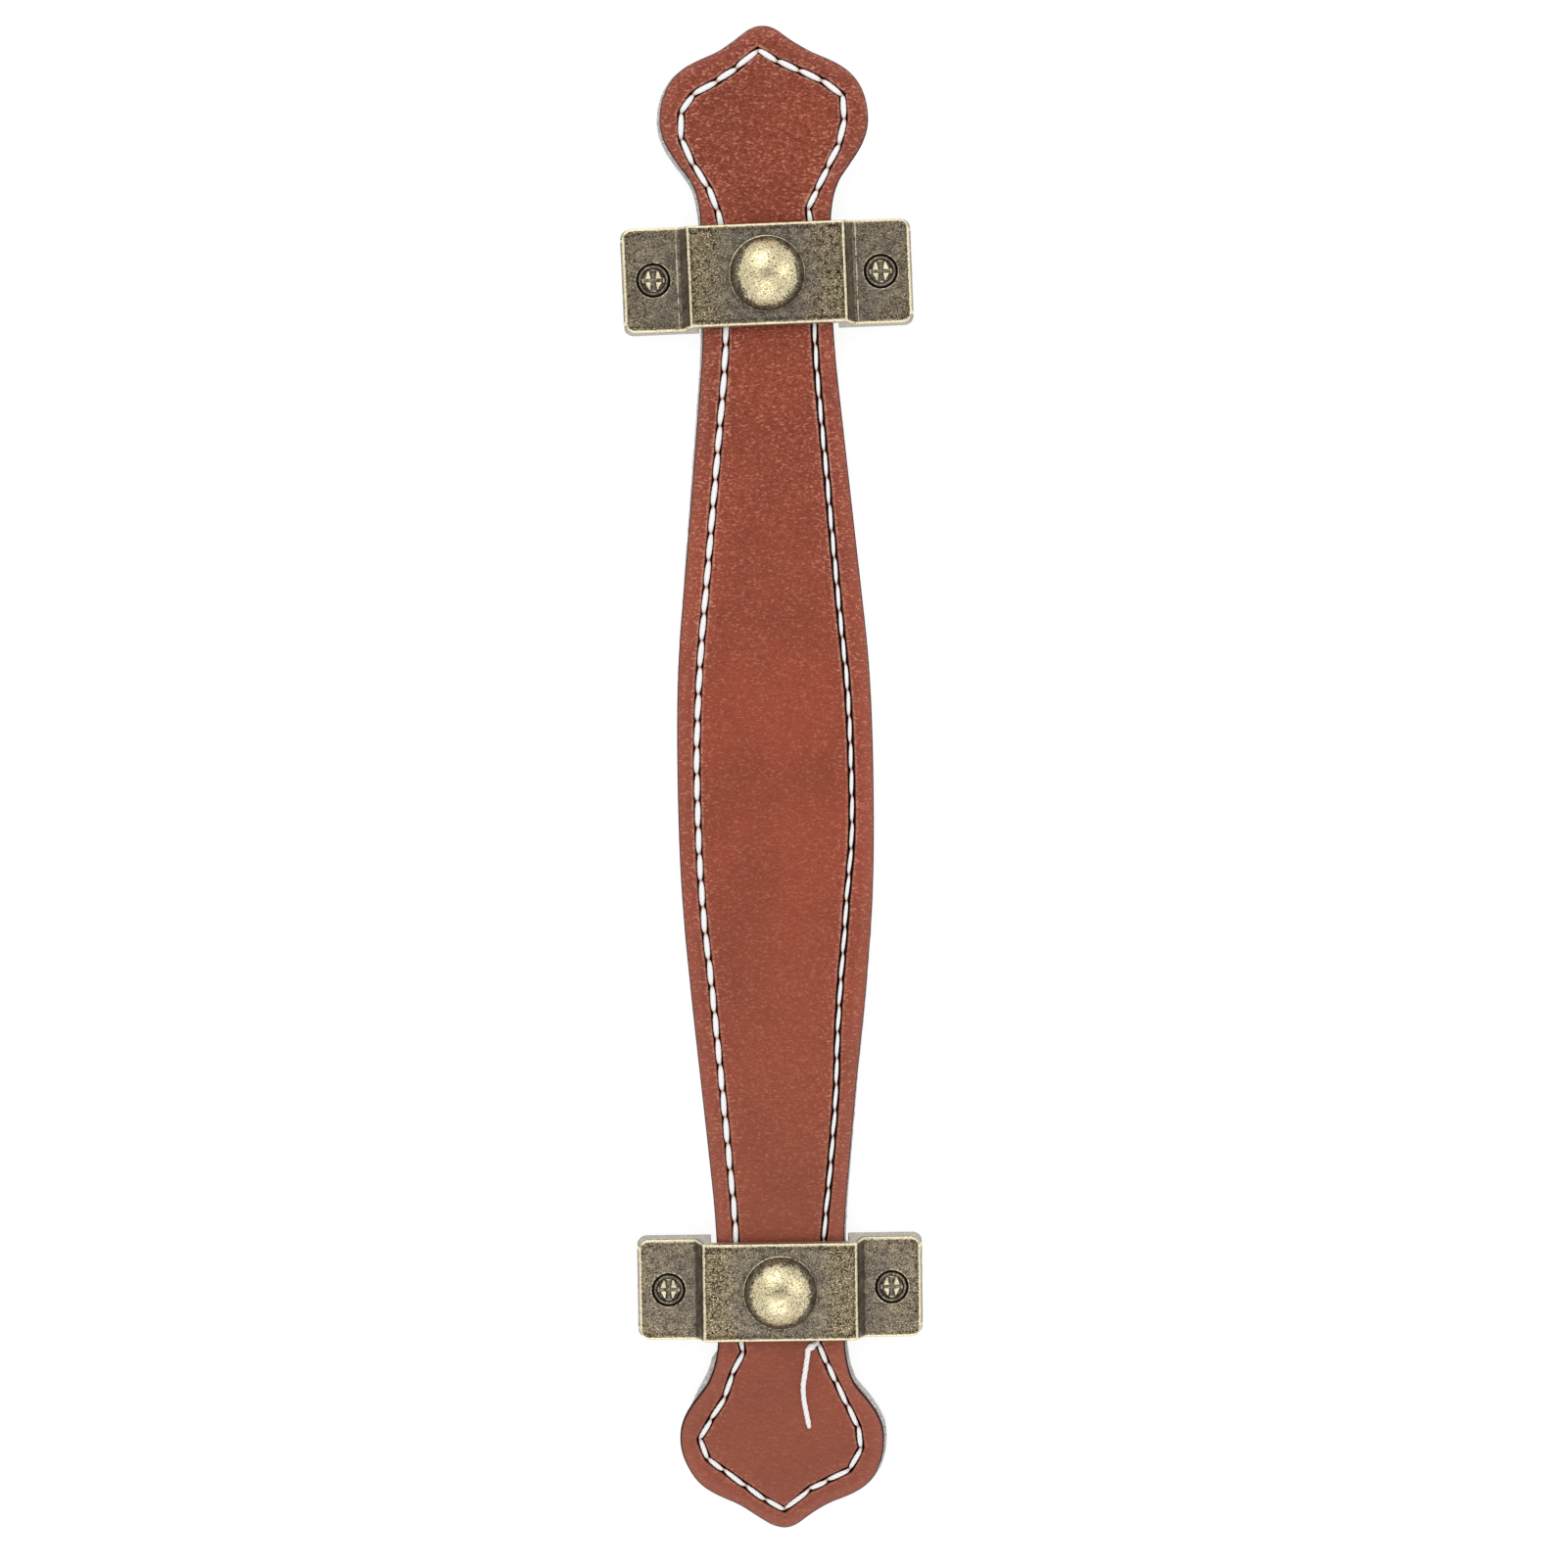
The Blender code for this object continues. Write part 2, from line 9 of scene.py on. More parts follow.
import bmesh
import bpy
import numpy as np
from bpy.props import FloatProperty, FloatVectorProperty, PointerProperty
from mathutils import Euler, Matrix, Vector


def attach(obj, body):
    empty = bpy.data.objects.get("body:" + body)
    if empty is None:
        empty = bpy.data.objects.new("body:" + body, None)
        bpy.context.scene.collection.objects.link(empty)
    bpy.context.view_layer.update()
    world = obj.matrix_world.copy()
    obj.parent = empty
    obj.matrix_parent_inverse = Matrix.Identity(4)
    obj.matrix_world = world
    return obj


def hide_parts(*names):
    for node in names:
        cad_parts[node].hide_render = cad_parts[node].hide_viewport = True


bl_info = {
    "name": "Strap Pull Looks",
    "version": (1, 0, 0),
    "blender": (4, 5, 0),
    "location": "View3D > Sidebar > Strap Pull",
    "description": "Stitched leathercloth strap and antique brass brackets round a fixed frame",
    "category": "Object",
}

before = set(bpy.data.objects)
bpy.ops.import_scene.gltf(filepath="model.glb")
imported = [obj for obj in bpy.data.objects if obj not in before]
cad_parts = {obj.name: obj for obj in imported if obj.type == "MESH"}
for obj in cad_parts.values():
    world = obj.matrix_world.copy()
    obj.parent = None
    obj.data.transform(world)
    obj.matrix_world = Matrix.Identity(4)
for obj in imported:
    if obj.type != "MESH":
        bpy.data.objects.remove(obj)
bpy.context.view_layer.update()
MM = 0.001

# Strap outline, distances from the tip of either end
STRAP_LENGTH = 260.0 * MM
BRACKET_SPACING = 175.0 * MM
HALF_LENGTH = STRAP_LENGTH / 2
BRACKET_Y = BRACKET_SPACING / 2
LOBE_HALF = 17.5 * MM
NECK_HALF = 10.85 * MM
MIDDLE_HALF = 16.9 * MM
LOBE_FROM_TIP = 16.0 * MM
NECK_FROM_TIP = HALF_LENGTH - BRACKET_Y
NECK_HALF_LENGTH = 9.5 * MM
TIP_SHAPE = ((0.0, 0.0, 0), (2.9 * MM, 1.2 * MM, 40), (8.9 * MM, 5.15 * MM, 22),
             (LOBE_HALF - 2.25 * MM, 8.9 * MM, 50), (LOBE_HALF, LOBE_FROM_TIP, 90),
             (NECK_HALF + 0.4 * (LOBE_HALF - NECK_HALF), LOBE_FROM_TIP + 8.9 * MM, 130),
             (NECK_HALF + 0.12 * MM, NECK_FROM_TIP - NECK_HALF_LENGTH, 93),
             (NECK_HALF, NECK_FROM_TIP, 90))
TAPER_START = (NECK_HALF + 0.75 * MM, NECK_FROM_TIP + 17.5 * MM)
TAPER_END = (MIDDLE_HALF - 1.1 * MM, HALF_LENGTH - 28.0 * MM)
POINTS_PER_KNOT = 120

# Strap layers and seam
BOARD_BOTTOM = 0.35 * MM
BOARD_TOP = 2.55 * MM
FACE_BOTTOM = 2.85 * MM
FACE_TOP = 4.55 * MM
FACE_SKEW = math.radians(0.13)
BOARD_SKEW = math.radians(0.40)
EDGE_ROLL = 1.3 * MM
STITCH_INSET = 3.5 * MM
BODY_STITCH = 4.6 * MM
LIP_FROM_SEAM = 0.86 * MM
SEAM_BAND = 1.9 * MM
CUT_WOBBLE = 0.03 * MM
FACE_EDGE_DROP = 1.1 * MM
BOARD_PROUD = 1.1 * MM
# Stitch holes of each lobe, clockwise from its lower left or its right-hand neck, in mm
LOBE_HOLES = {
    "upper": ((-8.5, 99.0), (-10.1, 102.9), (-12.5, 106.6), (-14.5, 110.9), (-14.5, 115.3),
              (-12.4, 118.4), (-8.3, 120.6), (-5.0, 122.8), (-1.3, 125.8), (2.0, 123.9),
              (5.7, 122.3), (9.5, 120.6), (13.0, 118.1), (13.3, 114.1), (12.4, 109.8),
              (10.4, 105.9), (8.5, 102.1), (7.0, 98.9)),
    "lower": ((6.5, -97.2), (8.0, -100.8), (9.5, -104.0), (11.5, -108.2), (13.3, -112.0),
              (13.8, -115.8), (11.8, -119.6), (7.8, -121.5), (4.7, -123.0), (0.3, -126.6),
              (-3.0, -124.8), (-6.4, -122.3), (-10.3, -119.4), (-13.0, -117.4), (-14.4, -113.9),
              (-12.4, -110.4), (-9.9, -106.5), (-8.6, -102.5), (-6.6, -98.5)),
}
# How far the body's seam wanders inwards, as pairs of y and drift in mm
SEAM_DRIFT = {
    "right": ((78, -0.3), (60, 0.0), (42, 0.3), (28, 0.5), (16, 0.25), (0, 0.0), (-9, 0.0),
              (-19, 0.65), (-33, 0.65), (-42, 0.45), (-54, -0.4), (-70, -0.5), (-90, 0.2)),
    "left": ((92, 0.0), (74, 0.28), (28, 0.36), (5, 0.08), (-9, 0.15), (-34, 0.42), (-55, 0.2),
             (-70, -0.08), (-90, -0.1)),
}
# How far the hand-cut edge lies outside the even outline, as pairs of y and swell in mm
EDGE_SWELL = {
    "right": ((130, 0.0), (128, 0.05), (126, 0.36), (122, 0.18), (118, 0.20), (113, 0.15),
              (109.5, 0.0), (107, -0.22), (104, 0.0), (98, 0.12), (75, 0.32), (45, 0.30),
              (10, 0.28),
              (-25, 0.30), (-38, 0.35), (-52, 0.10), (-70, 0.12), (-97, 0.0), (-101, -0.10),
              (-105, -0.45), (-108, -0.25), (-111, 0.05), (-116, 0.18), (-119.5, 0.25),
              (-122.3, 0.55), (-124, 0.55), (-126, 0.35), (-128, 0.12), (-130, 0.0)),
    "left": ((130, 0.1), (128, 0.30), (125, 0.38), (121, 0.32), (116, 0.45), (112, 0.40),
             (108, 0.08), (104, 0.10), (98, 0.22), (75, 0.07), (45, -0.07), (20, -0.15),
             (-5, -0.24),
             (-22, -0.28), (-38, -0.05), (-60, 0.05), (-75, 0.18), (-97, 0.25), (-103, 0.38),
             (-106, 0.20), (-111, 0.62), (-116, 0.55), (-119.5, 0.15), (-122.5, 0.22),
             (-125.5, 0.50), (-127.5, 0.55), (-129, 0.20), (-130, 0.0)),
}
THREAD_RADIUS = 0.46 * MM
TAIL_ROUTE = ((6.1, -97.2), (4.8, -98.1), (4.6, -99.3), (4.1, -102.5), (3.8, -104.6),
              (3.9, -107.0), (4.4, -109.9), (4.8, -112.1))
STITCH_SHARES = np.array((0, 0.04, 0.09, 0.16, 0.28, 0.42, 0.58, 0.72, 0.84, 0.91, 0.96))

# Brackets
BRACKET_HALF = 25.0 * MM
BRACKET_SIDE = 9.1 * MM
SIDE_DRAFT = math.tan(math.radians(4.6))
CASTING_OUTWARD = 0.2 * MM
END_DRAFT = 0.5 * MM
EAR_TOP = 3.0 * MM
EAR_CORNER = 1.7 * MM
CHANNEL_HALF = 12.03 * MM
CHANNEL_CEILING = 5.1 * MM
PLATEAU_HALF = 13.33 * MM
PLATEAU_TOP = 6.5 * MM
RISER_SPLAY = 1.3 * MM
FOOT_FILLET = 0.5 * MM
EDGE_ROUND = 0.34 * MM
UPPER_TURN = math.radians(1.7)
DOME_RADIUS = 6.35 * MM
DOME_RISE = 4.1 * MM
DOME_STEP = 0.2 * MM
BOSS_RADIUS = 4.0 * MM
BOSS_BOTTOM = 0.3 * MM
HOLE_RADIUS = 4.3 * MM
BORE_RADIUS = 1.65 * MM
BORE_END = 8.5 * MM
HEAD_FROM_CENTRE = 19.5 * MM
HEAD_RADIUS = 2.85 * MM
HEAD_REACH = 3.05 * MM
HEAD_PATCH = 3.2 * MM
HEAD_DISC = 2.08 * MM
HEAD_STATIONS = 68
HEAD_LINES = 69
PLATEAU_STATIONS = 46
# Each casting's side of the strap, its shift in x and y, its turn, the seed of its unevenness,
# how strong the painted highlight on its foot lines is, and how much its dome's bare patch is
# narrowed in x and y
CASTINGS = {
    "upper": (1, (-0.16 * MM, 0.14 * MM), UPPER_TURN, 51, 1.0, (1.12, 0.97)),
    "lower": (-1, (0.0, 0.0), 0.0, 61, 0.25, (1.08, 1.04)),
}

# Camera, set so that corners, heads and tips fall where the photograph has them
CAMERA_PLACE = (-0.0028, 0.0330, 0.5317)
CAMERA_TURN = (-3.50, -0.53, -0.68)
CAMERA_LENS = 70.3
TENT_LEAN = math.radians(9)


# ---- Colours, nodes and meshes

def linear(hex_code):
    """An sRGB hex colour such as #97503c as linear red, green, blue and 1."""
    parts = [int(hex_code[i:i + 2], 16) / 255 for i in (1, 3, 5)]
    return (*(v / 12.92 if v <= 0.04045 else ((v + 0.055) / 1.055) ** 2.4 for v in parts), 1.0)


def set_inputs(tree, node, inputs):
    """Give a node's inputs their values, by name or in order; a socket among them is linked."""
    for key, value in inputs.items() if isinstance(inputs, dict) else enumerate(inputs):
        if isinstance(value, bpy.types.NodeSocket):
            tree.links.new(value, node.inputs[key])
        else:
            node.inputs[key].default_value = value


def add_node(tree, kind, inputs=(), output=0, **settings):
    """Add one node with its settings and inputs, and return one of its outputs."""
    node = tree.nodes.new("ShaderNode" + kind)
    for name, value in settings.items():
        setattr(node, name, value)
    set_inputs(tree, node, inputs)
    return node.outputs[output]


def new_material(name):
    """An empty material; returns it, its tree and its Object coordinates."""
    material = bpy.data.materials.new(name)
    material.use_nodes = True
    tree = material.node_tree
    return material, tree, add_node(tree, "TexCoord", output="Object")


def lay_coats(tree, base, *coats):
    """A colour with coats laid over it in order, each by its share from 0 to 1."""
    for share, colour in coats:
        base, colour = (linear(c) if isinstance(c, str) else c for c in (base, colour))
        base = add_node(tree, "Mix", {0: share, 6: base, 7: colour}, 2, data_type="RGBA")
    return base


def value_noise(points, cell, seed):
    """Smooth noise from -1 to 1: hashed values on a cubic lattice, blended between 8 corners."""
    at = points / cell
    base = np.floor(at).astype(np.int64)
    part = at - base
    part = part * part * (3.0 - 2.0 * part)
    total = np.zeros(len(points))
    for corner in np.ndindex(2, 2, 2):
        key = (base + corner) @ np.array((73856093, 19349663, 83492791)) + seed * 8191
        key = ((key ^ (key >> 13)) * 1274126177) & 0x7FFFFFFF
        key = ((key ^ (key >> 15)) * 668265263) & 0x7FFFFFFF
        weight = np.prod(np.where(np.array(corner, bool), part, 1.0 - part), axis=1)
        total += weight * ((key & 0xFFFF) / 32768.0 - 1.0)
    return total


def smoothstep(low, high, x):
    """0 below low and 1 above high, with a smooth cubic step between them."""
    t = np.clip((x - low) / (high - low), 0.0, 1.0)
    return t * t * (3.0 - 2.0 * t)


def bell(x, middle, width):
    """A bump of height 1 round a middle, falling to 1/e at a width from there."""
    return np.exp(-(((x - middle) / width) ** 2))


def unit(vectors):
    """Rows scaled to length 1."""
    return vectors / np.linalg.norm(vectors, axis=1)[:, None]


def raised(flat, z):
    """Rows of x, y with a height: one for all, or one each."""
    return np.column_stack((flat, np.broadcast_to(z, len(flat))))


def run_of(path):
    """Length along a path up to each of its points."""
    return np.concatenate(([0.0], np.cumsum(np.linalg.norm(np.diff(path, axis=0), axis=1))))


def walked(at, stations, points):
    """Points at the places asked for along a line of x, y points with a station each."""
    return np.column_stack([np.interp(at, stations, points[:, c]) for c in range(2)])


def grid_quads(rows, columns):
    """Corner numbers of the quads of a grid stored row by row, whose rows close on themselves."""
    number = np.arange(rows * columns).reshape(rows, columns)
    number = np.column_stack((number, number[:, :1]))
    return np.stack((number[:-1, :-1], number[:-1, 1:], number[1:, 1:], number[1:, :-1]),
                    axis=-1).reshape(-1, 4)


def make_piece(name, points, quads, material, replaced, marks=None, strand=None):
    """A shown piece from points and quads, with doubles merged and faces turned outwards.

    marks are named values at the points, and strand is a pair of coordinates along and round.
    """
    mesh = bpy.data.meshes.new(name)
    mesh.from_pydata(points, [], quads)
    for key, values in (marks or {}).items():
        mesh.attributes.new(key, "FLOAT", "POINT").data.foreach_set("value", values)
    if strand is not None:
        layer = mesh.uv_layers.new(name="strand")
        corner = np.empty(len(mesh.loops), np.int32)
        mesh.loops.foreach_get("vertex_index", corner)
        layer.data.foreach_set("uv", strand[corner].ravel())
    bm = bmesh.new()
    bm.from_mesh(mesh)
    bmesh.ops.remove_doubles(bm, verts=bm.verts, dist=0.004 * MM)
    bmesh.ops.dissolve_degenerate(bm, edges=bm.edges, dist=0.002 * MM)
    bmesh.ops.recalc_face_normals(bm, faces=bm.faces)
    bm.to_mesh(mesh)
    bm.free()
    mesh.shade_smooth()
    mesh.materials.append(material)
    piece = bpy.data.objects.new(name, mesh)
    bpy.context.scene.collection.objects.link(piece)
    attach(piece, "root")
    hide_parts(replaced)
    return piece


def on_centreline(ring):
    """A ring drawn onto x = 0, at even 2 mm of y, where both sides share their points."""
    return np.column_stack((np.zeros(len(ring)), np.round(ring[:, 1] / (2 * MM)) * 2 * MM))


def bore_necks(piece):
    """Cut a round hole through a layer of the strap at each boss, and keep the cut mesh."""
    turn = np.arange(64) * 2 * math.pi / 64
    ring = np.column_stack((np.cos(turn), np.sin(turn))) * HOLE_RADIUS
    walls, quads, caps = [], [], []
    for y in (BRACKET_Y + CASTING_OUTWARD, -BRACKET_Y - CASTING_OUTWARD):
        for z in (-1.0 * MM, CHANNEL_CEILING):
            walls.append(raised(ring + (0.0, y), z))
    for first in (0, 128):
        quads += (grid_quads(2, 64) + first).tolist()
        caps += [list(range(first + 63, first - 1, -1)), list(range(first + 64, first + 128))]
    mesh = bpy.data.meshes.new("cutter")
    mesh.from_pydata(np.vstack(walls), [], quads + caps)
    cutter = bpy.data.objects.new("cutter", mesh)
    bpy.context.scene.collection.objects.link(cutter)
    cut = piece.modifiers.new("bores", "BOOLEAN")
    cut.operation, cut.solver, cut.object = "DIFFERENCE", "EXACT", cutter
    whole = piece.data
    piece.data = bpy.data.meshes.new_from_object(
        piece.evaluated_get(bpy.context.evaluated_depsgraph_get()))
    piece.modifiers.clear()
    bpy.data.objects.remove(cutter)
    for spare in (mesh, whole):
        bpy.data.meshes.remove(spare)
    piece.data.name = piece.name


# ---- Outline and seam of the strap

def turned(angle):
    """Matrix that turns rows of x, y counterclockwise by an angle."""
    return np.array(((math.cos(angle), math.sin(angle)), (-math.sin(angle), math.cos(angle))))


def half_outline():
    """Right-hand edge from the lower to the upper tip.

    Each stretch between two knots is a cubic Bezier whose handles lie along the knots' headings
    and are a third of the chord long; the upper half is the lower one turned over.
    """
    taper = math.degrees(math.atan2(TAPER_END[1] - TAPER_START[1], TAPER_END[0] - TAPER_START[0]))
    knots = (*TIP_SHAPE, (*TAPER_START, taper), (*TAPER_END, taper), (MIDDLE_HALF, HALF_LENGTH, 90))
    t = np.linspace(0.0, 1.0, POINTS_PER_KNOT, endpoint=False)[:, None]
    pieces = []
    for (x0, y0, a0), (x1, y1, a1) in zip(knots, knots[1:]):
        start, end = np.array((x0, y0)), np.array((x1, y1))
        reach = np.linalg.norm(end - start) / 3.0
        leave = start + reach * np.array((math.cos(math.radians(a0)), math.sin(math.radians(a0))))
        arrive = end - reach * np.array((math.cos(math.radians(a1)), math.sin(math.radians(a1))))
        pieces.append((1 - t) ** 3 * start + 3 * (1 - t) ** 2 * t * leave
                      + 3 * (1 - t) * t ** 2 * arrive + t ** 3 * end)
    lower = np.vstack(pieces + [np.array([[MIDDLE_HALF, HALF_LENGTH]])])
    lower[:, 1] -= HALF_LENGTH
    return np.vstack((lower, lower[-2::-1] * (1.0, -1.0)))


def drift(side, y):
    """How far the seam wanders inwards from its even inset on the strap's body, at a y."""
    at, by = np.array(sorted(SEAM_DRIFT[side])).T * MM
    return np.interp(y, at, by)


def swell(side, y):
    """How far the hand-cut edge lies outside the even outline at a y, eased over 4 mm."""
    at, by = np.array(sorted(EDGE_SWELL[side])).T * MM
    fine = np.arange(-135.0, 135.25, 0.25) * MM
    ease = np.hanning(17) / np.hanning(17).sum()
    return np.interp(y, fine, np.convolve(np.interp(fine, at, by), ease, mode="same"))


def into_ring(ring):
    """Unit vectors square to a clockwise ring of points, towards its inside."""
    along = unit(np.roll(ring, -1, axis=0) - np.roll(ring, 1, axis=0))
    return np.column_stack((along[:, 1], -along[:, 0]))


def body_holes(side):
    """Holes down one side between the lobes, evenly spaced along the drifting inset line."""
    edge = half_outline() * (1.0 if side == "right" else -1.0, 1.0)
    tangent = unit(np.gradient(edge, axis=0))
    outside = np.sign(edge[:, :1])
    square = np.column_stack((-np.abs(tangent[:, 1]), tangent[:, 0])) * outside
    line = edge + square * (STITCH_INSET + drift(side, edge[:, 1]))[:, None]
    last, first = (-1, 0) if side == "right" else (0, -1)
    start = np.array(LOBE_HOLES["upper"][last]) * MM
    stop = np.array(LOBE_HOLES["lower"][first]) * MM
    keep = np.abs(line[:, 1]) < 0.094
    line = np.vstack((start, line[keep][::-1], stop))
    run = run_of(line)
    count = int(round(run[-1] / BODY_STITCH))
    return walked(np.linspace(0.0, run[-1], count + 1)[1:-1], run, line)


class SeamPlan:
    """Stitch holes all round the strap, with the edge and the way inwards at stations between.

    The holes of the lobes are where the machine was turned by hand, and those of the body are
    evenly spaced. The seam runs straight from hole to hole. The edge is the even outline, turned
    by FACE_SKEW and moved outwards by its swell. Each station's edge point is the one whose
    inward line runs through the station. Inward lines are square to the edge, and turn towards
    the lobe's centre at a tip. A whole turn number is a hole.
    """

    def __init__(self, shares):
        right, left = body_holes("right"), body_holes("left")
        holes = np.vstack((np.array(LOBE_HOLES["upper"]) * MM, right,
                           np.array(LOBE_HOLES["lower"]) * MM, left[::-1]))
        self.holes = holes
        self.right_body = len(LOBE_HOLES["upper"]) + len(right)
        turn = np.add.outer(np.arange(len(holes)), shares).ravel()
        ring = np.vstack((holes, holes[:1]))
        self.seam = walked(turn, np.arange(len(ring)), ring)
        share = turn % 1.0
        self.to_hole = np.minimum(share, 1.0 - share)

        half = half_outline()
        edge = np.vstack((half[::-1], (half * (-1.0, 1.0))[1:-1])) @ turned(FACE_SKEW)
        out = np.where(edge[:, 0] > 0, swell("right", edge[:, 1]), swell("left", edge[:, 1]))
        out *= smoothstep(0.2 * MM, 2.2 * MM, np.abs(edge[:, 0]))
        edge = edge - into_ring(edge) * out[:, None]
        centre_y = np.sign(edge[:, 1]) * (HALF_LENGTH - LOBE_FROM_TIP)
        to_centre = unit(np.column_stack((np.zeros(len(edge)), centre_y)) - edge)
        weight = 1.0 - smoothstep(1.2 * MM, 8.9 * MM, HALF_LENGTH - np.abs(edge[:, 1]))[:, None]
        inward = unit(into_ring(edge) * (1.0 - weight) + to_centre * weight)
        apart = self.seam[:, None, :] - edge[None, :, :]
        off_line = apart[:, :, 0] * inward[:, 1] - apart[:, :, 1] * inward[:, 0]
        along = (apart * inward).sum(axis=2)
        cost = np.abs(off_line) + np.where((along > 0.0) & (along < 7.5 * MM), 0.0, 1.0)
        best = np.argmin(cost, axis=1)
        rows = np.arange(len(best))
        near, far = (best - 1) % len(edge), (best + 1) % len(edge)
        slope = (off_line[rows, far] - off_line[rows, near]) / 2.0
        shift = np.clip(-off_line[rows, best] / slope, -1.0, 1.0)[:, None]
        onward = np.where(shift > 0.0, edge[far] - edge[best], edge[best] - edge[near])
        self.edge = edge[best] + shift * onward
        self.inward = unit(self.seam - self.edge)


# ---- Leathercloth face

def leather_rows(plan):
    """Rows across the face, each an (x, y) ring with its distances from the edge and the seam.

    Rows go in from the edge, over the seam, and then by rungs to the strap's centreline. Where
    the seam runs close to the edge, the rows between them draw together.
    """
    width = np.linalg.norm(plan.seam - plan.edge, axis=1)
    roll, reach = np.minimum(EDGE_ROLL, 0.42 * width), np.minimum(1.1 * MM, 0.46 * width)
    rows = []
    for angle in np.radians(np.linspace(0, 90, 9)):
        offset = roll * (1.0 - math.cos(angle))
        rows.append((plan.edge + plan.inward * offset[:, None], offset, width - offset))
    for share in (0.33, 0.67):
        offset = roll + (width - roll - reach) * share
        rows.append((plan.edge + plan.inward * offset[:, None], offset, width - offset))
    shares = np.array((0.0, 0.15, 0.3, 0.4, 0.46, 0.52, 0.58, 0.64, 0.72, 0.84, 1.0))
    for share in shares[::-1]:
        near = reach * share
        rows.append((plan.seam - plan.inward * near[:, None], width - near, near))
    for near in (*shares[1:] * 1.1 * MM, 1.4 * MM, SEAM_BAND):
        rows.append((plan.seam + plan.inward * near, width + near, np.full(len(width), near)))
    last = rows[-1][0]
    rungs = 11
    for k in range(1, rungs + 1):
        ring = last * (1.0 - k / rungs, 1.0) if k < rungs else on_centreline(last)
        inside = np.abs(last[:, 0]) * k / rungs
        rows.append((ring, width + SEAM_BAND + inside, SEAM_BAND + inside))
    return rows, roll


def leather_height(plan, ring, from_edge, from_seam, roll):
    """Height of the face: rolled edge, puffed band, and leather pulled down along the seam.

    The edge is a quarter ellipse, FACE_EDGE_DROP high. The thread presses a groove a little
    wider than itself, whose lips stand up beside the middle of a stitch and sink at each hole.
    """
    curl = np.sqrt(np.clip(1.0 - (1.0 - np.clip(from_edge / roll, 0, 1)) ** 2, 0, 1))
    height = FACE_TOP - FACE_EDGE_DROP * (1.0 - curl)
    hole, pucker = bell(plan.to_hole, 0.0, 0.10), bell(plan.to_hole, 0.0, 0.2)
    sag = (0.10 + 0.20 * pucker) * MM * bell(from_seam, 0.0, 1.0 * MM)
    lip = (0.12 - 0.08 * pucker) * MM * bell(from_seam, LIP_FROM_SEAM, 0.17 * MM)
    half = (0.63 - 0.08 * hole) * MM
    core = 1.0 - smoothstep(half - 0.10 * MM, half + 0.08 * MM, from_seam)
    core *= (0.60 + 0.60 * hole) * MM
    puff = 0.08 * MM * bell(from_edge, 2.0 * MM, 0.9 * MM) * (1.0 - 0.8 * pucker)
    there = raised(ring, 0.0)
    uneven = (0.035 * MM * value_noise(there, 5.0 * MM, 3)
              + 0.014 * MM * value_noise(there, 1.3 * MM, 4))
    calm = smoothstep(0.0, 1.0 * MM, from_edge)
    return height - sag + lip * calm - core + puff + uneven * calm


def build_leather_face(material):
    """Underside, cut side wall and face as rings round the strap, joined one to the next.

    The marks say where the cloth is cut, where painted shade darkens the seam's groove and a line
    along the edge, where the lip beside the seam lies, where a painted highlight lies on the
    rolled band inside the edge, and how far the painted highlights on the grain reach from the
    seam.
    """
    plan = SeamPlan(STITCH_SHARES)
    count = len(plan.edge)
    rings, marks = [], {key: [] for key in ("cut", "shade_line", "lip", "rim_sheen", "glint_reach")}

    def add(flat, z, **values):
        """Store one ring with its height and marks; a mark that isn't given is 0."""
        rings.append(raised(flat, z))
        for key, stored in marks.items():
            stored.append(np.broadcast_to(values.get(key, 0.0), count))

    for offset, above in ((None, 0.0), (0.07, 0.0), (0.0, 0.08), (0.0, 0.3), (0.0, 0.42)):
        z = FACE_BOTTOM + above * MM
        # Painted shade: the top of the cut side wall takes the dark line along the edge
        values = {"cut": 1.0} if above < 0.35 else {"shade_line": 0.8}
        if offset is None:
            add(on_centreline(plan.edge), z, **values)
            continue
        flat = plan.edge + plan.inward * (offset * MM)
        wobble = CUT_WOBBLE * value_noise(raised(plan.edge, z), 0.5 * MM, 9)
        add(flat + plan.inward * wobble[:, None], z, **values)
    rows, roll = leather_rows(plan)
    # Painted shade: this widens the dark line along the edge towards the lower end
    low = 0.10 * (1.0 - smoothstep(-100 * MM, -92 * MM, plan.edge[:, 1]))
    hole = bell(plan.to_hole, 0.0, 0.10)
    for ring, from_edge, from_seam in rows:
        # worn is painted shade in the seam's groove beside the thread, not wear; rim is painted
        # shade along the outer edge
        worn = 1.0 - smoothstep((0.56 - 0.02 * hole) * MM, (0.72 - 0.02 * hole) * MM, from_seam)
        rim = 0.85 * (1.0 - smoothstep((0.08 + low) * MM, (0.30 + 1.2 * low) * MM, from_edge))
        add(ring, leather_height(plan, ring, from_edge, from_seam, roll),
            shade_line=np.maximum(worn, rim),
            lip=bell(from_seam, LIP_FROM_SEAM, 0.15 * MM),
            rim_sheen=(1.0 - smoothstep(0.3 * MM, 3.4 * MM, from_edge))
            * smoothstep(0.1 * MM, 0.3 * MM, from_edge),
            glint_reach=np.exp(-np.abs(from_seam - 0.8 * MM) / (1.6 * MM)))
    marks = {key: np.concatenate(stored) for key, stored in marks.items()}
    face = make_piece("leather_face", np.vstack(rings), grid_quads(len(rings), count), material,
                      "strap_face", marks)
    bore_necks(face)


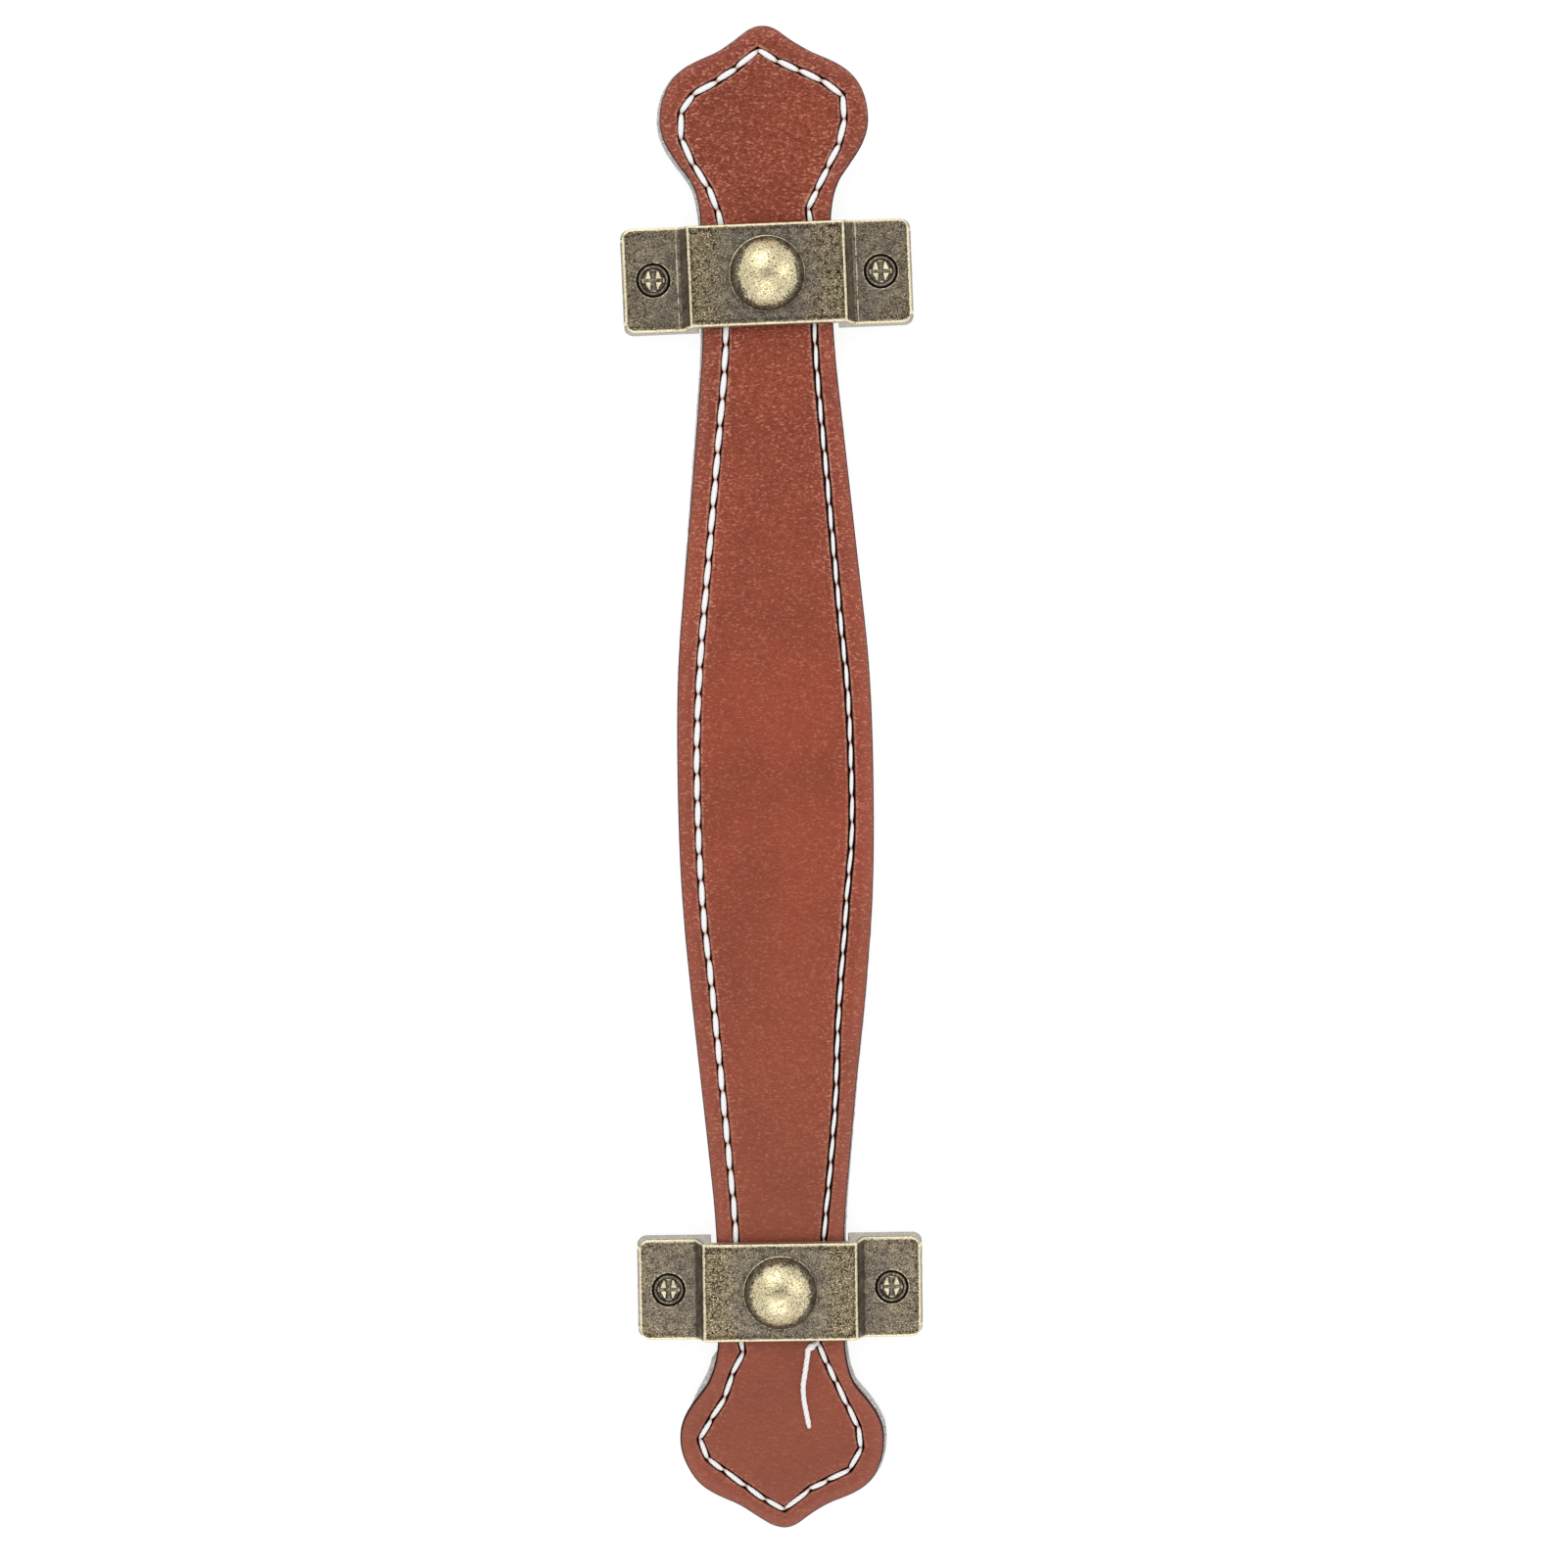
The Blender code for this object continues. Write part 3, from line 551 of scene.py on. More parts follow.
def leathercloth(settings):
    """Polyurethane leathercloth, pressed with a fine pebble grain: a satin plastic skin.

    Pebbles of about 0.9 mm, with finer wrinkles that lie across the strap, take a painted
    highlight on their tops, strongest beside the seam and the edge, and painted shade in their
    valleys; both are stronger towards the upper end. The grain is stretched flatter towards the
    lower end, and a painted grey sheen lies over it there. A painted highlight lies on the rolled
    band inside the edge and on the lips beside the seam, and painted shade darkens the seam's
    groove and a line along the edge.
    """
    material, tree, where = new_material("polyurethane_leathercloth")
    along = add_node(tree, "SeparateXYZ", (where,), "Y")
    laid = add_node(tree, "Mapping", {"Vector": where, "Rotation": (0.0, 0.0, 0.12),
                                      "Scale": (0.72, 1.25, 1.0)})
    pebbles = add_node(tree, "TexVoronoi", {"Vector": laid, "Scale": 1 / settings.grain_size,
                                            "Smoothness": 0.5}, feature="SMOOTH_F1")
    wrinkles = add_node(tree, "TexNoise", {"Vector": laid, "Scale": 1 / (0.44 * MM), "Detail": 3.0,
                                           "Roughness": 0.62, "Distortion": 0.5})
    clouds = add_node(tree, "TexNoise", {"Vector": where, "Scale": 1 / (14 * MM), "Detail": 2.0})
    shade_line, cut, lip, rim_sheen, glint_reach = (
        add_node(tree, "Attribute", output="Fac", attribute_name=name)
        for name in ("shade_line", "cut", "lip", "rim_sheen", "glint_reach"))
    glint_spread = add_node(tree, "Math", (glint_reach, rim_sheen), operation="MAXIMUM")
    (cloudy, lower_sheen, crisp, low_crisp, valley, top, glint_strength, rim_highlight, toward_top, broken, groove_and_edge_shade,
     cut_through, satin, dull) = (
        add_node(tree, "MapRange", numbers, interpolation_type="SMOOTHSTEP") for numbers in (
            (clouds, 0.35, 0.65, 0.0, 1.0), (along, -0.11, 0.02, 0.42, 0.0),
            (along, 0.0, 0.10, 0.64, 1.50), (along, -0.09, -0.055, 0.45, 1.0),
            (wrinkles, 0.34, 0.48, 0.6, 0.0), (wrinkles, 0.54, 0.66, 0.0, 1.0),
            (glint_spread, 0.0, 1.0, 0.55, 1.25), (rim_sheen, 0.0, 1.0, 0.0, 0.16),
            (along, -0.11, 0.06, 0.35, 1.0), (wrinkles, 0.38, 0.62, 0.05, 0.9),
            (shade_line, 0.1, 0.9, 0.0, 1.0), (cut, 0.4, 0.6, 0.0, 1.0),
            (wrinkles, 0.35, 0.65, 0.46, 0.34), (shade_line, 0.3, 0.9, 0.0, 0.5)))
    pressed = add_node(tree, "Math", (crisp, low_crisp), operation="MULTIPLY")
    grain_shade, lit, seen = (add_node(tree, "Math", pair, operation="MULTIPLY")
                          for pair in ((valley, pressed), (glint_strength, pressed), (broken, toward_top)))
    grain_highlights, lip_highlight = (add_node(tree, "Math", pair, operation="MULTIPLY")
                       for pair in ((top, lit), (lip, seen)))
    # Painted light in these coats: a grey sheen towards the lower end, shade in the grain's valleys
    # and highlights on its tops, highlights on the rolled band and on the seam's lips, and
    # near-black shade in the seam's groove and along the edge
    base = lay_coats(
        tree, "#903e26", (cloudy, (*settings.leather_colour, 1.0)), (lower_sheen, "#88523f"),
        (grain_shade, "#6e2c1b"), (grain_highlights, "#cd8368"), (rim_highlight, "#b87566"), (lip_highlight, "#cf9482"),
        (groove_and_edge_shade, "#1a0906"), (cut_through, "#d9b9ab"))
    pebbled = add_node(tree, "Math", (wrinkles, pebbles), operation="SUBTRACT")
    bump = add_node(tree, "Bump", {"Height": pebbled, "Strength": pressed, "Distance": 0.24 * MM})
    rough = add_node(tree, "Math", (satin, dull), operation="ADD")
    set_inputs(tree, tree.nodes["Principled BSDF"],
               {"Base Color": base, "Roughness": rough, "Normal": bump, "IOR": 1.5,
                "Specular IOR Level": 0.32})
    return material


# ---- Felted board behind the face

def build_board(material):
    """Side wall with cut fibres, eased lower edge, and a back with the bobbin thread's groove.

    Rings are the outline turned by the skew; the wall's points move in and out by noise whose
    grain is 0.5 mm along the edge and finer over its height, as a die-cut fibre board has. At
    the lower left neck the wall stands proud of the face.
    """
    plan = SeamPlan(STITCH_SHARES)
    count = len(plan.edge)
    skew = turned(BOARD_SKEW - FACE_SKEW)
    rings, cut = [], []

    def add(flat, z, raw):
        """Store one ring with its height, and how raw its fibres are cut."""
        rings.append(raised(flat, z))
        cut.append(np.full(count, raw))

    y = plan.edge[:, 1]
    proud = smoothstep(-97.5 * MM, -101 * MM, y) * smoothstep(-110 * MM, -104 * MM, y)
    proud *= BOARD_PROUD * (plan.edge[:, 0] < 0)
    add(on_centreline(plan.edge) @ skew, BOARD_TOP, 0.0)
    heights = np.linspace(BOARD_TOP, BOARD_BOTTOM + 0.15 * MM, 10)
    for level, z in enumerate(heights):
        end = (0.12 * MM if level == 0 else 0.0) - proud
        there = raised(plan.edge, z * 2.5)
        fuzz = 0.07 * value_noise(there, 0.55 * MM, 21) + 0.06 * value_noise(there, 1.6 * MM, 22)
        add((plan.edge + plan.inward * (end + 0.04 * MM + fuzz * MM)[:, None]) @ skew, z, 1.0)
    add((plan.edge + plan.inward * (0.3 * MM - proud)[:, None]) @ skew, BOARD_BOTTOM, 0.5)
    hole = bell(plan.to_hole, 0.0, 0.11)
    for near in np.array((-1.2, -0.8, -0.6, -0.45, -0.25, 0.0, 0.25, 0.45, 0.6, 0.8, 1.2)) * MM:
        sunk = 1.0 - smoothstep(0.35 * MM, 0.7 * MM, abs(near))
        flat = plan.seam + plan.inward * near
        flat = flat if abs(near) < 0.7 * MM else flat @ skew
        add(flat, BOARD_BOTTOM + (0.72 + 0.3 * hole) * MM * sunk, 0.0)
    last = plan.seam + plan.inward * 1.2 * MM
    rungs = 6
    for k in range(1, rungs + 1):
        ring = last * (1.0 - k / rungs, 1.0) if k < rungs else on_centreline(last)
        add(ring @ skew, BOARD_BOTTOM, 0.0)
    marks = {"cut": np.concatenate(cut)}
    board = make_piece("felted_board", np.vstack(rings), grid_quads(len(rings), count), material,
                       "strap_backing", marks)
    bore_necks(board)


def fibre_board(settings):
    """Needled fibre board: matted pale fibres, rough and dull, greyer and hairier where cut."""
    material, tree, where = new_material("needled_fibre_board")
    drawn = add_node(tree, "Mapping", {"Vector": where, "Scale": (1.0, 1.0, 3.0)})
    fibres = add_node(tree, "TexNoise", {"Vector": drawn, "Scale": 1 / (0.3 * MM), "Detail": 4.0,
                                         "Roughness": 0.65, "Distortion": 1.5})
    matted = add_node(tree, "TexNoise", {"Vector": where, "Scale": 1 / (2.4 * MM), "Detail": 3.0})
    cut = add_node(tree, "Attribute", output="Fac", attribute_name="cut")
    felted, frayed, stained = (
        add_node(tree, "MapRange", numbers, interpolation_type="SMOOTHSTEP") for numbers in (
            (fibres, 0.35, 0.65, 0.0, 1.0), (fibres, 0.4, 0.62, 0.0, 1.0),
            (matted, 0.55, 0.75, 0.0, 0.35)))
    pale = lay_coats(tree, "#8b8784", (felted, (*settings.board_colour, 1.0)))
    grey = lay_coats(tree, "#a09a98", (frayed, "#f2efec"))
    base = lay_coats(tree, pale, (cut, grey), (stained, "#8d8079"))
    bump = add_node(tree, "Bump", {"Height": fibres, "Strength": 0.7, "Distance": 0.15 * MM})
    set_inputs(tree, tree.nodes["Principled BSDF"],
               {"Base Color": base, "Normal": bump, "Roughness": 0.95, "Sheen Weight": 0.2})
    return material


# ---- Sewing thread

def tube(path, radius, flatten, sides, ply_turn):
    """Points and strand coordinates of a twisted thread along a path.

    The section is a circle, wider than high by flatten, whose radius swells by a cosine of three
    times the angle: three plies, turning once in ply_turn of length.
    """
    along = unit(np.gradient(path, axis=0))
    across = unit(np.column_stack((-along[:, 1], along[:, 0], np.zeros(len(along)))))
    up = np.cross(along, across)
    run = run_of(path)
    angle = np.arange(sides) * 2 * math.pi / sides
    twist = 3.0 * (angle[None, :] - 2 * math.pi * run[:, None] / ply_turn)
    reach = radius[:, None] * (0.97 + 0.045 * np.cos(twist))
    wide, high = 1.0 + flatten, 1.0 - flatten
    points = (path[:, None, :] + (reach * np.cos(angle) * wide)[:, :, None] * across[:, None, :]
              + (reach * np.sin(angle) * high)[:, :, None] * up[:, None, :])
    strand = np.stack((np.broadcast_to(run[:, None] / ply_turn, reach.shape),
                       np.broadcast_to(angle / (2 * math.pi), reach.shape)), axis=-1)
    return points, strand


def closed_tube(path, radius, flatten, sides, ply_turn):
    """A tube with both ends drawn to a point, as grid points, quads and strand coordinates."""
    points, strand = tube(path, radius, flatten, sides, ply_turn)
    first, last = points[:1].mean(axis=1, keepdims=True), points[-1:].mean(axis=1, keepdims=True)
    points = np.concatenate((np.repeat(first, sides, axis=1), points,
                             np.repeat(last, sides, axis=1)))
    strand = np.concatenate((strand[:1], strand, strand[-1:]))
    return points.reshape(-1, 3), grid_quads(len(points), sides), strand.reshape(-1, 2)


def seam_path(plan, first, level, dip, per_stitch):
    """Centreline and radius of the seam thread from hole number first, round and back to it.

    Each stitch runs straight; the thread rises from the hole over the first fifth, lies flat, and
    goes down again. It swells to the middle of a stitch and is pinched to 0.44 of that in the hole.
    It is pulled slimmer down the right side and towards the lower end.
    """
    holes = np.roll(plan.holes, -first, axis=0)[::-1]
    holes = np.vstack((holes[-1], holes))
    turn = np.arange((len(holes) - 1) * per_stitch + 1) / per_stitch
    flat = walked(turn, np.arange(len(holes)), holes)
    share = turn % 1.0
    near = np.minimum(share, 1.0 - share)
    up = smoothstep(0.0, 0.2, near)
    size = THREAD_RADIUS * (0.44 + 0.56 * np.sin(math.pi * np.clip(near * 1.15, 0, 0.5)) ** 0.75)
    body = 1.0 - smoothstep(92 * MM, 102 * MM, np.abs(flat[:, 1]))
    slim = 0.34 * body * smoothstep(2 * MM, 6 * MM, flat[:, 0])
    size *= 1.0 - np.maximum(slim, 0.14 * smoothstep(-60 * MM, -90 * MM, flat[:, 1]))
    slant = 0.07 * MM * np.cos(math.pi * share) * smoothstep(0.0, 0.1, near)
    sway = slant + 0.05 * MM * value_noise(raised(flat, 0.0), 6 * MM, 31) * up
    along = np.gradient(flat, axis=0)
    side = np.column_stack((-along[:, 1], along[:, 0])) / np.linalg.norm(along, axis=1)[:, None]
    flat = flat + side * sway[:, None]
    return raised(flat, level - dip * (1.0 - up)), size, near


def tail_path(start):
    """Centreline of the loose tail: a smooth curve through the route's points, on the face.

    Between two points it is the cubic whose heading at each point lies along its neighbours.
    """
    knots = np.vstack((start, np.array(TAIL_ROUTE) * MM))
    before, after = 2 * knots[:1] - knots[1:2], 2 * knots[-1:] - knots[-2:-1]
    around = np.vstack((before, knots, after))
    t = np.linspace(0.0, 1.0, 14, endpoint=False)[:, None]
    runs = []
    for a, b, c, d in zip(around, around[1:], around[2:], around[3:]):
        runs.append(0.5 * (2 * b + (c - a) * t + (2 * a - 5 * b + 4 * c - d) * t ** 2
                           + (3 * b - a - 3 * c + d) * t ** 3))
    flat = np.vstack(runs + [knots[-1:]])
    lying = FACE_TOP + THREAD_RADIUS * 0.7
    rise = smoothstep(0.0, 1.2 * MM, np.linalg.norm(flat - start, axis=1))
    return raised(flat, lying - 0.6 * MM * (1.0 - rise))


def add_thread(name, node, material, path, size, pinch, flatten, sides, ply_turn):
    """A closed tube along a path as a shown piece, marked where it is pinched."""
    points, quads, strand = closed_tube(path, size, flatten, sides, ply_turn)
    marks = {"pinch": np.repeat(np.concatenate((pinch[:1], pinch, pinch[-1:])), sides)}
    make_piece(name, points, quads, material, node, marks, strand)


def build_threads(material):
    """Seam thread with its loose tail on the face, and bobbin thread on the back, as tubes.

    The tail swells and thins along its length, with a knot 1.5 mm from its start. The mark says
    where a thread is pinched in a hole.
    """
    plan = SeamPlan(np.array((0.0,)))
    first = plan.right_body
    path, size, near = seam_path(plan, first, FACE_TOP - 0.12 * MM, 0.50 * MM, 16)
    tail = tail_path(plan.holes[first])
    run = np.linalg.norm(tail - tail[0], axis=1)
    lumps = 1.0 + 0.05 * np.cos(run * 2 * math.pi / (1.25 * MM))
    lumps += 0.07 * value_noise(tail, 1.4 * MM, 41) + 0.42 * bell(run, 1.5 * MM, 0.55 * MM)
    cut_end = np.sqrt(np.clip(1.0 - np.linspace(0, 1, len(tail)) ** 60, 0.05, 1.0))
    start = np.append(np.linspace(0.6, 1.0, 8), np.ones(len(tail) - 8))
    path = np.vstack((path[:-1], tail))
    size = np.concatenate((size[:-1], THREAD_RADIUS * 0.90 * lumps * cut_end * start))
    pinch = np.concatenate((bell(near[:-1], 0.0, 0.085), np.zeros(len(tail))))
    add_thread("seam_thread", "face_thread", material, path, size, pinch, 0.08, 16, 2.6 * MM)
    path, size, near = seam_path(plan, first, BOARD_BOTTOM + 0.30 * MM, -0.45 * MM, 12)
    add_thread("bobbin_thread", "back_thread", material, path, size * 0.95,
               bell(near, 0.0, 0.075), 0.06, 12, 2.3 * MM)


def sewing_thread(settings):
    """Bonded polyester thread of three plies: white filaments with a soft, slightly waxy gleam.

    The filaments are drawn at five to a ply, so that they show. Where the thread is pinched in
    a hole, it is painted with the warm light that the leathercloth round it reflects onto it: a
    painted reflection.
    """
    material, tree, where = new_material("bonded_polyester_thread")
    along = add_node(tree, "SeparateXYZ", (where,), "Y")
    strand = add_node(tree, "UVMap", uv_map="strand")
    laid = add_node(tree, "Mapping", {"Vector": strand, "Scale": (-3.0, 3.0, 1.0)})
    run = add_node(tree, "SeparateXYZ", (laid,))
    turn = add_node(tree, "Math", (run, run.node.outputs[1]), operation="ADD")
    angle = add_node(tree, "Math", (turn, 2 * math.pi), operation="MULTIPLY")
    fine = add_node(tree, "Math", (angle, 5.0), operation="MULTIPLY")
    plies, filaments = (add_node(tree, "Math", (a,), operation="COSINE") for a in (angle, fine))
    soil = add_node(tree, "TexNoise", {"Vector": where, "Scale": 1 / (1.5 * MM), "Detail": 2.0})
    soiled, valley, low = (
        add_node(tree, "MapRange", numbers, interpolation_type="SMOOTHSTEP") for numbers in (
            (soil, 0.5, 0.8, 0.0, 0.12), (plies, -1.0, -0.2, 1.0, 0.0),
            (along, -0.10, -0.05, 0.42, 0.14)))
    shade = add_node(tree, "Math", (valley, low), operation="MULTIPLY")
    pinch = add_node(tree, "Attribute", output="Fac", attribute_name="pinch")
    # The pinch coat paints the warm light reflected from the leathercloth into the hole
    base = lay_coats(tree, (*settings.thread_colour, 1.0), (soiled, "#ece0d2"),
                     (shade, "#d6c5b6"), (pinch, "#e39a70"))
    bump = add_node(tree, "Bump", {"Height": filaments, "Strength": 0.25, "Distance": 0.03 * MM})
    set_inputs(tree, tree.nodes["Principled BSDF"],
               {"Base Color": base, "Normal": bump, "Roughness": 0.55, "Sheen Weight": 0.15})
    return material


# ---- Castings

def strip_path():
    """Outer and inner line of the bent strip's right half, from the ear's end to the middle.

    Each is an array of x, z pairs, and both have as many points, joined one to one by the side
    walls: end wall, rounded top edge, ear, foot fillet, splayed riser, rounded edge, plateau.
    """
    def arc(cx, cz, radius, start, end, count):
        """Points of an arc round cx, cz between two angles in degrees."""
        turn = np.radians(np.linspace(start, end, count))
        return np.column_stack((cx + radius * np.cos(turn), cz + radius * np.sin(turn)))

    def run(x0, z0, x1, z1, count):
        """Evenly spaced points of a straight line, both ends among them."""
        return np.column_stack((np.linspace(x0, x1, count), np.linspace(z0, z1, count)))

    end = BRACKET_HALF
    top_end = end - END_DRAFT
    edge = EDGE_ROUND
    foot = PLATEAU_HALF + RISER_SPLAY
    head_in, head_out = HEAD_FROM_CENTRE - HEAD_REACH, HEAD_FROM_CENTRE + HEAD_REACH
    lean = math.degrees(math.atan2(PLATEAU_TOP - EAR_TOP, RISER_SPLAY))
    outer = [
        run(end - 0.12 * MM, 0.0, end, 0.12 * MM, 3),
        run(end - 0.02 * MM, 0.3 * MM, top_end + 0.08 * MM, EAR_TOP - edge - 0.1 * MM, 7),
        arc(top_end - edge, EAR_TOP - edge, edge, 8, 90, 8),
        run(top_end - edge - 0.2 * MM, EAR_TOP, head_out + 0.1 * MM, EAR_TOP, 7),
        run(head_out, EAR_TOP, head_in, EAR_TOP, HEAD_STATIONS),
        run(head_in - 0.12 * MM, EAR_TOP, foot + FOOT_FILLET + 0.06 * MM, EAR_TOP, 8),
        arc(foot + FOOT_FILLET, EAR_TOP + FOOT_FILLET, FOOT_FILLET, 270, 180 + 90 - lean, 8),
        run(foot - 0.12 * MM, EAR_TOP + 0.62 * MM, PLATEAU_HALF + 0.10 * MM, PLATEAU_TOP - edge, 8),
        arc(PLATEAU_HALF - edge, PLATEAU_TOP - edge, edge, 90 - lean + 12, 90, 8),
        run(PLATEAU_HALF - edge - 0.15 * MM, PLATEAU_TOP, 0.0, PLATEAU_TOP, PLATEAU_STATIONS),
    ]
    inner = [
        run(end - 0.12 * MM, 0.0, end - 0.2 * MM, 0.0, 3),
        run(end - 0.25 * MM, 0.0, end - 0.7 * MM, 0.0, 7),
        run(end - 0.75 * MM, 0.0, top_end - edge - 0.15 * MM, 0.0, 8),
        run(top_end - edge - 0.3 * MM, 0.0, head_out + 0.1 * MM, 0.0, 7),
        run(head_out, 0.0, head_in, 0.0, HEAD_STATIONS),
        run(head_in - 0.12 * MM, 0.0, 13.8 * MM, 0.0, 8),
        run(13.6 * MM, 0.0, CHANNEL_HALF, 0.0, 8),
        run(CHANNEL_HALF, 0.1 * MM, CHANNEL_HALF, 4.3 * MM, 8),
        run(CHANNEL_HALF, 4.5 * MM, CHANNEL_HALF - 0.3 * MM, CHANNEL_CEILING, 8),
        run(CHANNEL_HALF - 0.5 * MM, CHANNEL_CEILING, 0.0, CHANNEL_CEILING, PLATEAU_STATIONS),
    ]
    return np.vstack(outer), np.vstack(inner)


def head_relief(x, y):
    """Depth of an imitation screw head at x, y from its centre, how bare and dark it is, and its
    painted edge highlight.

    A round groove, a flat ring, and a sunk disc with a low cross, between whose arms four wedges
    stand: each has its broad end beside the level arm, narrows along the upright arm, and slopes
    outwards, so that it catches the light.
    """
    r = np.hypot(x, y)
    soft = 0.07 * MM
    groove = smoothstep(HEAD_RADIUS + 0.06 * MM + soft, HEAD_RADIUS + 0.06 * MM - soft, r)
    groove *= smoothstep(HEAD_RADIUS - 0.30 * MM - soft, HEAD_RADIUS - 0.26 * MM + soft, r)
    disc = smoothstep(HEAD_DISC, HEAD_DISC - 0.13 * MM, r)
    line = bell(r, HEAD_DISC, 0.11 * MM)
    a, b = np.abs(x), np.abs(y)
    tall = np.where(y > 0, 1.34, 1.22) * MM
    share = np.clip((b - 0.34 * MM) / tall, 0.0, 1.0)
    middle = (0.90 - np.where(y > 0, 0.10, 0.22) * share) * MM
    width = 0.43 * MM * (1.0 - share) ** 0.8 + 0.05 * MM
    wedge = smoothstep(width + soft, width - soft, np.abs(a - middle))
    wedge *= smoothstep(0.32 * MM - soft, 0.32 * MM + soft, b) * smoothstep(1.0, 0.93, share)
    cross = np.maximum(smoothstep(0.30 * MM, 0.18 * MM, a) * (b < 1.9 * MM),
                       smoothstep(0.26 * MM, 0.14 * MM, b) * (a < 1.9 * MM)) * disc
    arm_end = bell(r, 1.80 * MM, 0.12 * MM) * (np.minimum(a, b) < 0.42 * MM)
    depth = 0.42 * MM * groove + 0.34 * MM * disc + 0.08 * MM * line - 0.10 * MM * cross
    outward = np.clip((a - 0.4 * MM) / (0.95 * MM), 0, 1)
    depth -= 0.34 * MM * wedge * disc * (1.0 - 0.3 * share) * (1.0 - 0.8 * outward)
    rim = bell(r, HEAD_RADIUS + 0.20 * MM, 0.10 * MM)
    edge = np.clip(1.1 * wedge * disc + 0.35 * rim + 0.3 * arm_end, 0.0, 1.0)
    bare = np.clip(1.4 * wedge * disc + 0.6 * rim + 0.7 * arm_end, 0.0, 1.0)
    floor = disc * (1.0 - wedge) * (1.0 - 0.85 * cross) * (1.0 - 0.7 * arm_end)
    dark = np.clip(1.1 * groove + 0.60 * floor + 0.95 * line, 0.0, 1.0)
    ring = smoothstep(HEAD_RADIUS, HEAD_RADIUS - 0.1 * MM, r) * (1.0 - disc)
    return depth, bare, np.maximum(dark, 0.04 * ring), edge


